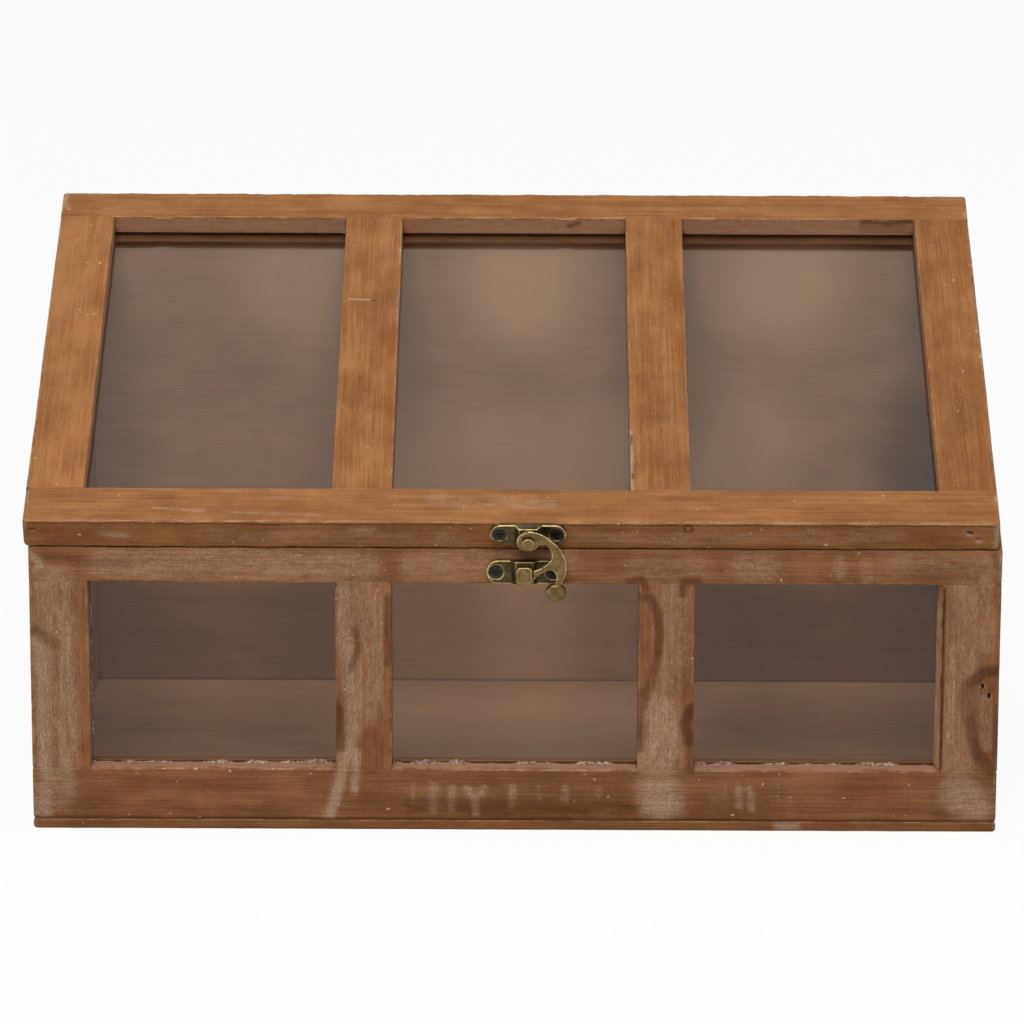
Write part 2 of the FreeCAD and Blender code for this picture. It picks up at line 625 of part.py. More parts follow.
back_outline = [(side_back, "base_thickness"), ("half_depth", "base_thickness"),
                ("half_depth", "back_height"), (side_back, "back_height - bevel_rise")]
back_blank = place(padded("back_blank", "YZ_Plane", straight(back_outline), "box_width"), ("-half_width", "0", "0"))
back_drills = drills("back_drill", all_back_spots, "brad_length", "90")
back_drilled = cut("back_drilled", back_blank, back_drills + base_drills["back"]
                   + box_hinge_holes["left"] + box_hinge_holes["right"])
keep("back_board", rounded("back_board", back_drilled, "arris",
                           lambda middle: near(abs(middle.x), value("half_width"))
                           and near(middle.y, value("half_depth"))))


# Holes in the slats, each in its frame's own axes
wood_holes = {
    "front_bottom_rail": front_rail_drills + [front_drills["left"][0], front_drills["right"][0]],
    "front_stile_left": [front_drills["left"][1]],
    "front_stile_right": [front_drills["right"][1]],
    "front_top_rail": [front_drills["left"][2], front_drills["right"][2],
                       place(union("catch_pilots", plate_holes("catch_pilot")),
                             ("catch_x", "0", "catch_z - base_thickness"))],
    "lid_bottom_rail": [place(union("hook_plate_pilots", plate_holes("hook_plate_pilot")),
                              ("latch_offset - lid_shift", "pivot_drop", "0"), "90")],
    "lid_top_rail": lid_hinge_holes["left"] + lid_hinge_holes["right"],
}


# Frames of slats, the same for the front and for the lid: rails run the whole width and hold the stub
# tenons of the uprights in the groove that also holds the glass

def slatted_frame(which, rise, set_down):
    """Rails, stiles, mullions and panes of one frame."""
    stile_in = f"(half_width - {which}_stile_width)"
    inner = f"({which}_middle_opening / 2)"
    outer = f"({which}_middle_opening / 2 + {which}_mullion_width)"
    low = f"{which}_bottom_rail_width"
    high = f"({rise} - {which}_top_rail_width)"

    def groove(name, x_low, x_high, z_low, z_high):
        return block(name, (x_low, "glass_recess", z_low), (x_high, "groove_end", z_high))

    def outer_arris(middle):
        at_face = near(middle.y, 0)
        at_back = near(middle.y, value("stock"))
        at_end = near(abs(middle.x), value("half_width"))
        if which == "front":
            return at_face and at_end
        at_foot = near(middle.z, 0)
        at_head = near(middle.z, value(rise))
        return (at_face and (at_end or at_foot or at_head) or at_end and (at_foot or at_head)
                or at_back and (at_end or at_foot))

    for side, z_low, z_high, groove_low, groove_high in (
            ("bottom", "0", low, f"{low} - groove_depth", low),
            ("top", high, rise, high, f"{high} + groove_depth")):
        name = f"{which}_{side}_rail"
        bevelled = which == "front" and side == "top"
        top = f"{z_high} + bevel_rise" if bevelled else z_high
        slat = block(name + "_slat", ("-half_width", "0", z_low), ("half_width", "stock", top))
        stop = "(half_width - groove_stop)"
        cuts = [groove(name + "_groove", "-" + stop, stop, groove_low, groove_high)]
        if bevelled:
            above = doc.addObject("Part::Box", name + "_above")
            bind(above, Length="box_width + 2 * stock", Width="4 * stock", Height="4 * stock")
            start = ("-half_width - stock", "-stock", f"{rise} - bevel_rise")
            cuts.append(place(above, start, "roof_slope"))
        shaped = cut(name + "_shaped", slat, cuts + wood_holes.get(name, []))
        keep(name, set_down(rounded(name, shaped, "arris", outer_arris)))

    uprights = [
        ("stile_left", "-half_width", "-" + stile_in, "-half_width + groove_stop + tenon_play",
         f"-{stile_in} - groove_depth"),
        ("mullion_left", "-" + outer, "-" + inner, f"-{outer} + groove_depth", f"-{inner} - groove_depth"),
        ("mullion_right", inner, outer, f"{inner} + groove_depth", f"{outer} - groove_depth"),
        ("stile_right", stile_in, "half_width", f"{stile_in} + groove_depth",
         "half_width - groove_stop - tenon_play"),
    ]
    for part, x_low, x_high, tenon_low, tenon_high in uprights:
        name = f"{which}_{part}"
        slat = block(name + "_slat", (x_low, "0", low), (x_high, "stock", high))
        tenons = block(name + "_tenons",
                       (tenon_low, "glass_recess + tenon_play", f"{low} - groove_depth + tenon_play"),
                       (tenon_high, "groove_end - tenon_play", f"{high} + groove_depth - tenon_play"))
        cuts = []
        if part != "stile_left":
            cuts.append(groove(name + "_groove_left", x_low, f"{x_low} + groove_depth", low, high))
        if part != "stile_right":
            cuts.append(groove(name + "_groove_right", f"{x_high} - groove_depth", x_high, low, high))
        shaped = cut(name + "_shaped", union(name + "_blank", [slat, tenons]), cuts + wood_holes.get(name, []))
        if part.startswith("stile"):
            shaped = rounded(name, shaped, "arris", outer_arris)
        keep(name, set_down(shaped))

    for part, x_low, x_high in (("left", "-" + stile_in, "-" + outer), ("middle", "-" + inner, inner),
                                ("right", outer, stile_in)):
        name = f"{which}_pane_{part}"
        corner = (f"{x_low} - pane_bite", "glass_recess + glass_play", f"{low} - pane_bite")
        far = (f"{x_high} + pane_bite", "glass_recess + glass_play + glass_thickness", f"{high} + pane_bite")
        keep(name, set_down(block(name, corner, far), corner))


slatted_frame("front", "front_rise", on_front)
slatted_frame("lid", "lid_rise", on_lid)


# Every object must have computed, and every kept piece must be sound, before the files are written
doc.recompute()
for thing in doc.Objects:
    if "Invalid" in thing.State or "Error" in thing.State:
        raise RuntimeError("did not compute: " + thing.Name)
for label, thing in pieces.items():
    if thing.Shape.isNull() or not thing.Shape.isValid() or not thing.Shape.Solids:
        raise RuntimeError("unsound shape: " + label)

os.makedirs("parts", exist_ok=True)
for label, thing in pieces.items():
    thing.Shape.exportStep("parts/" + label + ".step")
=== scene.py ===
import math

import bmesh
import bpy
from mathutils import Matrix, Vector, noise


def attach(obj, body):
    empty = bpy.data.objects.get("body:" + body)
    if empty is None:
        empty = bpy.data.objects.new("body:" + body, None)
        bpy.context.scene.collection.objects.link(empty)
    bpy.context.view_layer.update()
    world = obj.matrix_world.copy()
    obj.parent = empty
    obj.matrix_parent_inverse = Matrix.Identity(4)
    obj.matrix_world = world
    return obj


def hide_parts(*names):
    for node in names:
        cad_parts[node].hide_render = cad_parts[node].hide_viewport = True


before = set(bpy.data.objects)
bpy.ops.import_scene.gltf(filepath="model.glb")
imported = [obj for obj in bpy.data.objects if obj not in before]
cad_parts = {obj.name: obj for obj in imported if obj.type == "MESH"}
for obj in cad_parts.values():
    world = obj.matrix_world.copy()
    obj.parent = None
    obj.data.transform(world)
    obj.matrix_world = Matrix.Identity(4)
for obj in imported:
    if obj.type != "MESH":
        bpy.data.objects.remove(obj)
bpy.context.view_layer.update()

# Studio
# A white sweep of card under and behind the box, a broad soft light high in front, a weak one straight above,
# and the camera a little above the lid's front edge, far off, as for a catalogue.
MM = 0.001
scene = bpy.context.scene
scene.view_settings.view_transform = "Standard"


def put_in_scene(name, data):
    """A new object in the scene: a piece, a lamp or the camera."""
    thing = bpy.data.objects.new(name, data)
    scene.collection.objects.link(thing)
    return thing


def look(at, pitch, yaw, roll, lens):
    """A camera at a point, looking down by a pitch and turned by a yaw, all angles in degrees."""
    pitch, yaw, roll = [math.radians(angle) for angle in (pitch, yaw, roll)]
    forward = Vector((math.sin(yaw) * math.cos(pitch), math.cos(yaw) * math.cos(pitch), -math.sin(pitch)))
    level = Vector((math.cos(yaw), -math.sin(yaw), 0))
    above = level.cross(forward)
    right = math.cos(roll) * level + math.sin(roll) * above
    up = math.cos(roll) * above - math.sin(roll) * level
    data = bpy.data.cameras.new("camera")
    data.lens = lens
    data.sensor_width = 36
    data.clip_end = 60
    camera = put_in_scene("camera", data)
    camera.matrix_world = Matrix.Translation(at) @ Matrix((right, up, -forward)).transposed().to_4x4()
    scene.camera = camera


look(Vector((8.01, -2125.86, 657.55)) * MM, pitch=14.628, yaw=-0.263, roll=0.167, lens=188.87)


def softbox(name, at, target, size, watts):
    """A rectangular lamp at one point, turned to another."""
    data = bpy.data.lights.new(name, "AREA")
    data.shape = "RECTANGLE"
    data.size, data.size_y = size
    data.energy = watts
    lamp = put_in_scene(name, data)
    lamp.location = at
    lamp.rotation_euler = (Vector(target) - Vector(at)).to_track_quat("-Z", "Y").to_euler()


softbox("light_front", at=(-0.1, -1.5, 1.7), target=(0, 0, 0.1), size=(1.2, 0.8), watts=27)
softbox("light_above", at=(-0.06, -0.22, 1.25), target=(0, 0, 0.15), size=(0.9, 0.6), watts=2.2)


def feed(tree, socket, given):
    """Link what is given to a socket, or set the socket to it."""
    if isinstance(given, bpy.types.NodeSocket):
        tree.links.new(given, socket)
    else:
        socket.default_value = given


def worked_out(tree, operation, *numbers):
    """One step of arithmetic."""
    maths = tree.nodes.new("ShaderNodeMath")
    maths.operation = operation
    for socket, number in zip(maths.inputs, numbers):
        feed(tree, socket, number)
    return maths.outputs[0]


def one_colour(tree, kind, colour, **numbers):
    """A shader of one colour all over, with its other numbers set by name."""
    shader = tree.nodes.new(kind)
    feed(tree, shader.inputs["Color"], (*colour, 1))
    for name, number in numbers.items():
        feed(tree, shader.inputs[name], number)
    return shader.outputs[0]


def mixed(tree, share, first, second):
    """Two shaders in one, with so great a share of the second."""
    mix = tree.nodes.new("ShaderNodeMixShader")
    for socket, given in zip(mix.inputs, (share, first, second)):
        feed(tree, socket, given)
    return mix.outputs[0]


def seen(tree):
    """Is 1 where the camera sees the studio, straight or in brass and glass, and 0 where it only lights."""
    rays = tree.nodes.new("ShaderNodeLightPath").outputs
    sharp = worked_out(tree, "MAXIMUM", rays["Is Camera Ray"], rays["Is Glossy Ray"])
    return worked_out(tree, "MAXIMUM", sharp, rays["Is Transmission Ray"])


WHITE = (1, 1, 1)
WALL_LIGHT = 0.30
world = bpy.data.worlds.new("studio_walls")
scene.world = world
world.use_nodes = True
tree = world.node_tree
walls = tree.nodes["Background"]
walls.inputs["Color"].default_value = (*WHITE, 1)
walls.inputs["Strength"].default_value = WALL_LIGHT
backdrop = one_colour(tree, "ShaderNodeBackground", WHITE, Strength=1)
shown = mixed(tree, seen(tree), walls.outputs[0], backdrop)
tree.links.new(shown, tree.nodes["World Output"].inputs["Surface"])

# In metres: how far the sweep reaches each way, how far back it starts to bend, and how high over that start
# the line passes that its straight upper part follows at 45 degrees
SWEEP_REACH = 6
BEND_FROM = 2.5
LINE_HEIGHT = 3


def sweep_of_card():
    """A sheet that lies flat under the box and bends up behind it."""
    bm = bmesh.new()
    bmesh.ops.create_grid(bm, x_segments=60, y_segments=60, size=SWEEP_REACH)
    for vertex in bm.verts:
        beyond = max(0, vertex.co.y - BEND_FROM)
        vertex.co.z = min(beyond * beyond, LINE_HEIGHT + beyond)
    for face in bm.faces:
        face.smooth = True
    mesh = bpy.data.meshes.new("sweep")
    bm.to_mesh(mesh)
    bm.free()
    return put_in_scene("sweep", mesh)


def surfaced(name, surface):
    """A material with a surface of its own, which a function draws in its tree."""
    material = bpy.data.materials.new(name)
    material.use_nodes = True
    tree = material.node_tree
    tree.nodes.remove(tree.nodes["Principled BSDF"])
    tree.links.new(surface(tree), tree.nodes["Material Output"].inputs["Surface"])
    return material


def white_card(tree):
    """Card that looks white and keeps the box's shadow, but throws little light back at it."""
    grey = one_colour(tree, "ShaderNodeBsdfDiffuse", (0.40, 0.40, 0.40))
    pale = one_colour(tree, "ShaderNodeBsdfDiffuse", (0.93, 0.93, 0.93))
    glow = one_colour(tree, "ShaderNodeEmission", WHITE)
    return mixed(tree, seen(tree), grey, mixed(tree, 0.93, pale, glow))


sweep = sweep_of_card()
sweep.location.z = -0.2 * MM
sweep.data.materials.append(surfaced("white_card", white_card))

# Front frame
# Two rails and four uprights of soft wood, planed, rubbed with a red-brown stain and glued: the uprights'
# tenons stand in the rails' glass grooves. Watering has left pale drips and dark damp stains on them.
HALF_WIDTH = 190
HALF_DEPTH = 104
BASE = 4
STOCK = 13
SLOPE = math.radians(23)
OPENING = (21, 97)
# The groove for the glass: how far behind the face it starts and ends, and how deep it is
GROOVE_FROM = 8
GROOVE_TO = 10.4
GROOVE_DEPTH = 5
NO_GROOVE = 0.02
# How close the points of a slat's mesh lie: on its face, on its other sides and along its grain
FACE_PITCH = 1.3
HIDDEN_PITCH = 3.5
GRAIN_PITCH = 1.6
ARC_STEPS = 4
SHARP = math.radians(34)
# The radius of an arris where two pieces butt, and how much darker the ends of the grain are
BUTT = 0.05
END_GRAIN = 0.06
# How many waves to a millimetre and how large: of an arris's radius, slow and quick, and of an edge
SLOW_WAVER = (0.09, 0.4)
QUICK_WAVER = (0.4, 0.4)
EDGE_WAVER = (0.02, 0.16)
# A mark reaches so many half widths and goes so deep, and one as small as this draws the mesh closer
MARK_REACH = 1.5
MARK_DEPTH = 3
SMALL_MARK = 0.75
# How an arris looks across its round, from 1, rubbed pale, to -1, darkened to a black line: all of them, then
# the lower front one
ROUND = (0.1, 0.8, 1, 0.8, 0.1)
RUBBED = (ROUND, ROUND)
INNER_ARRISES = {"low": (0, 3), "high": (1, 2)}
# Marks that colour a slat: water haze, damp stains and painted shade, and painted pools of light
COLOUR_MARKS = ("haze", "damp", "sun")
REMEMBERED = ("worn", "bare", "inside", "shade", *COLOUR_MARKS)
# No two slats are cut from the same part of the tree
APART = Vector((173, 51, 97))
LEVEL = Matrix(((1, 0, 0), (0, 0, 1), (0, 1, 0)))
UPRIGHT = Matrix(((0, 1, 0), (0, 0, 1), (1, 0, 0)))


def rounded_ring(corners, parts):
    """A closed section: each corner is (across, in, radius), and each side is cut into so many parts."""
    arcs = []
    for number, (across, inwards, radius) in enumerate(corners):
        here = Vector((across, inwards))
        if radius == 0:
            arcs.append([here])
            continue
        back = (Vector(corners[number - 1][:2]) - here).normalized()
        ahead = (Vector(corners[(number + 1) % len(corners)][:2]) - here).normalized()
        half = math.acos(max(-1, min(1, back.dot(ahead)))) / 2
        centre = here + (back + ahead).normalized() * radius / math.sin(half)
        start = here + back * radius / math.tan(half) - centre
        turn = start.angle_signed(here + ahead * radius / math.tan(half) - centre)
        arcs.append([centre + Matrix.Rotation(-turn * step / ARC_STEPS, 2) @ start
                     for step in range(ARC_STEPS + 1)])
    ring = []
    for number, arc in enumerate(arcs):
        ring += [(point, (number, step) if len(arc) > 1 else None) for step, point in enumerate(arc)]
        after = arcs[(number + 1) % len(arcs)][0]
        ring += [(arc[-1].lerp(after, part / parts[number]), None) for part in range(1, parts[number])]
    return ring


def section(low, high, thickness, slope, radii, grooves, groove_depth, inset=0, splay=0):
    """The corners of a slat's section: its face is at depth 0, its upper edge may be planed to a slope, and
    its lower edge may lean out towards the glass."""
    def top(depth):
        return high - inset + slope * depth

    face, back = inset, thickness - inset
    shrunk = [max(radius - inset, BUTT) for radius in radii]
    corners = [(low + inset, face, shrunk[0]), (top(face), face, shrunk[1])]
    if "high" in grooves:
        corners += [(top(GROOVE_FROM), GROOVE_FROM, 0), (top(GROOVE_FROM) - groove_depth, GROOVE_FROM, 0),
                    (top(GROOVE_TO) - groove_depth, GROOVE_TO, 0), (top(GROOVE_TO), GROOVE_TO, 0)]
    corners += [(top(back), back, shrunk[2]), (low + inset, back, shrunk[3])]
    if "low" in grooves:
        corners += [(low + inset, GROOVE_TO, 0), (low + inset + groove_depth, GROOVE_TO, 0),
                    (low + inset + groove_depth, GROOVE_FROM, 0), (low + inset - splay, GROOVE_FROM, 0)]
    return corners


def marked(marks, kind, along, across):
    """How strongly the marks of one kind show: each has a strength, a half width and a run of points."""
    strongest = 0
    here = Vector((along, across))
    for mark, strength, width, *line in marks:
        if mark == kind:
            near = min((here - closest_on_run(here, Vector(start), Vector(end))).length
                       for start, end in zip(line, line[1:] or line))
            strongest = max(strongest, strength * min(1, MARK_REACH - near / width))
    return strongest


def reaching(marks, along):
    """Those marks whose runs come near a station of the slat."""
    near = []
    for mark in marks:
        kind, strength, width, *line = mark
        places = [point[0] for point in line]
        if min(places) - MARK_REACH * width < along < max(places) + MARK_REACH * width:
            near.append(mark)
    return near


def closest_on_run(point, start, end):
    run = end - start
    if run.length == 0:
        return start
    return start + run * max(0, min(1, (point - start).dot(run) / run.length_squared))


def stations_along(grain, ends, stopped, marks, joints):
    """Where along its grain a slat's section is set: closer at its ends, stops, joints and small marks."""
    start, end = grain
    count = round((end - start) / GRAIN_PITCH)
    stations = [start + (end - start) * step / count for step in range(count + 1)]
    for edge, inwards, radius in ((start, 1, ends[0]), (end, -1, ends[1])):
        stations = [station for station in stations if abs(station - edge) > 1.3 * radius]
        stations += [edge + inwards * radius * share for share in (0, 0.08, 0.3, 0.6, 1)]
        if stopped:
            stations += [edge + inwards * (stopped + 0.1), edge + inwards * (stopped - 0.1)]
    for kind, strength, width, *line in marks:
        if width < SMALL_MARK:
            first = min(point[0] for point in line) - 2 * width
            steps = round((max(point[0] for point in line) + 2 * width - first) / (width / 2))
            stations += [first + width / 2 * step for step in range(steps + 1)
                         if start + 2 < first + width / 2 * step < end - 2]
    for edge in [edge for joint in joints for edge in joint if start < edge < end]:
        stations += [edge - 0.15, edge + 0.15]
    return sorted(stations)


def parts_around(corners, pitch, low_side_marks):
    """Into how many parts each side of a section is cut: fine on its face and where marks lie."""
    parts = []
    for index, (across, inwards, radius) in enumerate(corners):
        after = corners[(index + 1) % len(corners)]
        run = math.hypot(after[0] - across, after[1] - inwards)
        on_face = inwards == 0 and after[1] == 0
        on_marked_side = low_side_marks and index == len(corners) - 1
        parts.append(max(1, round(run / (pitch if on_face or on_marked_side else HIDDEN_PITCH))))
    return parts


def lofted(name, points, around, inside_out):
    """A closed mesh through a row of sections, each with so many points around it."""
    faces = []
    for first in range(0, len(points) - around, around):
        for index in range(around):
            after = (index + 1) % around
            faces.append((first + index, first + after, first + around + after, first + around + index))
    faces.append(tuple(reversed(range(around))))
    faces.append(tuple(range(len(points) - around, len(points))))
    if inside_out:
        faces = [tuple(reversed(face)) for face in faces]
    mesh = bpy.data.meshes.new(name)
    mesh.from_pydata(points, [], faces)
    return mesh


def slat(name, turn, grain, low, high, radii, ends, thickness=STOCK, grooves=(), stopped=0, slope=0,
         rise=0, splay=0, pitch=FACE_PITCH, marks=(), low_side_marks=(), joints=(), shade=0, arris=RUBBED,
         inside=False, number=1):
    """A slat lofted along its grain, in millimetres: turn sets its grain, width and depth on x, y and z.
    Its arrises waver, but stay sharp at its joints, chips and holes go into its face, and it remembers where
    each point lies in the wood, how worn or bare it is there, and how far it lies under a mark."""
    start, end = grain

    def waver(across, along, scale, amount):
        return amount * noise.noise(Vector((along * scale, across * 3.7, number * 7.9)))

    on_slat = [mark for mark in marks if any(low - 1 < point[1] < high + rise + 1 for point in mark[3:])]
    stations = stations_along(grain, ends, stopped, (*on_slat, *low_side_marks), joints)
    drawn = section(low, high, thickness, slope, radii, grooves, GROOVE_DEPTH)
    parts = parts_around(drawn, pitch, low_side_marks)
    points = []
    memory = {kind: [] for kind in ("grain", *REMEMBERED)}
    for station in stations:
        near_end, end_radius = min((station - start, ends[0]), (end - station, ends[1]))
        gone = max(0, end_radius - near_end)
        inset = end_radius - math.sqrt(max(0, end_radius ** 2 - gone ** 2)) if gone else 0
        grooved = not stopped or min(station - start, end - station) > stopped
        rubbed = [radius * (1 + waver(index * 11, station, *SLOW_WAVER)
                            + waver(index * 5, station, *QUICK_WAVER)) for index, radius in enumerate(radii)]
        bottom = low + waver(1, station, *EDGE_WAVER)
        top = high + rise * ((station - start) / (end - start)) + waver(2, station, *EDGE_WAVER)
        if any(first < station < last for first, last in joints):
            for side in grooves:
                bottom, top = (low, top) if side == "low" else (bottom, high)
                for index in INNER_ARRISES[side]:
                    rubbed[index] = BUTT
        cut = section(bottom, top, thickness, slope, rubbed, grooves,
                      GROOVE_DEPTH if grooved else NO_GROOVE, inset, splay)
        here, here_on_side = reaching(marks, station), reaching(low_side_marks, station)
        for (across, depth), on_arris in rounded_ring(cut, parts):
            spot = Vector((station, across, depth))
            on_low_side = across < low + 0.5
            worn = math.sin(math.pi * near_end / end_radius) if gone else 0
            if on_arris and not gone:
                worn = arris[on_arris[0] == 0][on_arris[1]]
            memory["worn"].append(worn or on_low_side * marked(here_on_side, "worn", station, depth))
            reveal = any((across - bottom if side == "low" else top - across) < 0.3 for side in grooves)
            by_glass = 0.6 < depth < GROOVE_FROM + 0.1 or depth > GROOVE_TO
            memory["bare"].append(1 if reveal and by_glass else 0)
            memory["inside"].append(1 if inside and depth > thickness - 0.05 else 0)
            memory["shade"].append(shade - END_GRAIN if near_end == 0 else shade)
            memory["grain"].extend(spot + number * APART)
            shows_marks = depth < GROOVE_FROM or inside
            for kind in COLOUR_MARKS:
                memory[kind].append(max(marked(here, kind, station, across) if shows_marks else 0,
                                        on_low_side * marked(here_on_side, kind, station, depth)))
            if depth < MARK_DEPTH:
                spot.z += (marked(here, "chip", station, across)
                           + marked(here, "hole", station, across)) * (1 - depth / MARK_DEPTH)
            if on_low_side:
                spot.y += marked(here_on_side, "chip", station, depth)
            points.append(turn @ spot * MM)
    mesh = lofted(name, points, len(points) // len(stations), inside_out=turn.determinant() < 0)
    for kind in REMEMBERED:
        mesh.attributes.new(kind, "FLOAT", "POINT").data.foreach_set("value", memory[kind])
    mesh.attributes.new("grain", "FLOAT_VECTOR", "POINT").data.foreach_set("vector", memory["grain"])
    mesh.shade_smooth()
    mesh.set_sharp_from_angle(angle=SHARP)
    return put_in_scene(name + "_wood", mesh)


def dress(piece, node, body, material):
    """Let a piece stand for a node of the model, on its body, in a finish."""
    piece.data.materials.clear()
    piece.data.materials.append(material)
    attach(piece, body)
    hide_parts(node)


class Finish:
    """A material put together step by step: each step gives the socket that the next one takes."""

    def __init__(self, name):
        self.material = bpy.data.materials.new(name)
        self.material.use_nodes = True
        self.tree = self.material.node_tree
        self.shader = self.tree.nodes["Principled BSDF"]

    def give(self, name, given):
        """Feed one of the shader's own inputs."""
        feed(self.tree, self.shader.inputs[name], given)

    def step(self, kind, given, out=0, **settings):
        """One node, with its inputs and settings by name: gives the socket it puts out."""
        made = self.tree.nodes.new(kind)
        for name, setting in settings.items():
            setattr(made, name, setting)
        for name, value in given.items():
            feed(self.tree, made.inputs[name], value)
        return made.outputs[out]

    def remembered(self, kind, vector=False):
        """What the mesh remembers at each of its points."""
        return self.step("ShaderNodeAttribute", {}, "Vector" if vector else "Fac", attribute_name=kind)

    def sum(self, operation, *numbers):
        return worked_out(self.tree, operation, *numbers)

    def weighed(self, total, *parts):
        """A total with several patterns added to it, each by its weight."""
        for pattern, weight in parts:
            total = self.sum("MULTIPLY_ADD", pattern, weight, total)
        return total

    def mottle(self, place, scale, detail=2.0, roughness=0.5):
        """Soft noise: scale is how many patches it has to a unit, the same all ways or a number for each."""
        if isinstance(scale, tuple):
            place = self.step("ShaderNodeVectorMath", {0: place, 1: scale}, operation="MULTIPLY")
            scale = 1.0
        return self.step("ShaderNodeTexNoise", {"Vector": place, "Scale": scale, "Detail": detail,
                                                "Roughness": roughness})

    def between(self, fac, low, high, to_low=0.0, to_high=1.0):
        """Goes softly from to_low, where the pattern is low, to to_high, where it is high."""
        return self.step("ShaderNodeMapRange", {"Value": fac, "From Min": low, "From Max": high,
                                                "To Min": to_low, "To Max": to_high},
                         interpolation_type="SMOOTHSTEP")

    def shades(self, fac, *stops):
        """A pattern in colours: each stop is a height of the pattern and its colour."""
        output = self.step("ShaderNodeValToRGB", {"Fac": fac})
        ramp = output.node.color_ramp
        while len(ramp.elements) < len(stops):
            ramp.elements.new(0.5)
        for element, (place, colour) in zip(ramp.elements, stops):
            element.position = place
            element.color = (*colour, 1)
        return output

    def laid_over(self, under, over, fac, blend="MIX"):
        """One colour over another: fac is how much it covers."""
        made = self.tree.nodes.new("ShaderNodeMix")
        made.data_type = "RGBA"
        made.blend_type = blend
        feed(self.tree, made.inputs["Factor"], fac)
        feed(self.tree, made.inputs[6], under)
        feed(self.tree, made.inputs[7], (*over, 1) if isinstance(over, tuple) else over)
        return made.outputs[2]

    def shaded_in_corners(self, colour, shade_colour, reach, low, high, most):
        """Painted shade in the corners, found by ambient occlusion, as far out as it reaches, and none where
        they open wider than high.
        """
        corner = self.step("ShaderNodeAmbientOcclusion", {"Distance": reach}, "AO", samples=4)
        return self.laid_over(colour, shade_colour, self.between(corner, low, high, most, 0.0), "MULTIPLY")

    def relief(self, height, strength, depth):
        """Rough to the light, so many metres deep, without a change of shape."""
        self.give("Normal", self.step("ShaderNodeBump", {"Height": height, "Strength": strength,
                                                         "Distance": depth}))


# The colours of the dry coat inside, of the painted pools of light on it, of bare, rubbed and chipped wood,
# of what water leaves when it dries, of damp stains and painted shade, of a dark line on some arrises, and of
# painted shade in corners, which darken what they lie on
INSIDE = ((0.275, 0.138, 0.070), (0.342, 0.169, 0.085), (0.410, 0.206, 0.104))
LIGHT_POOL_COLOUR = (0.67, 0.375, 0.205)
BARE_WOOD = (0.43, 0.235, 0.150)
RUBBED_WOOD = (0.60, 0.35, 0.18)
PALE_SPECKS = (0.70, 0.50, 0.34)
CHALK = (0.575, 0.405, 0.28)
DAMP_AND_SHADE_TINT = (0.36, 0.28, 0.24)
DARK_ARRIS_LINE = (0.20, 0.14, 0.10)
CORNER_SHADE = (0.32, 0.22, 0.18)


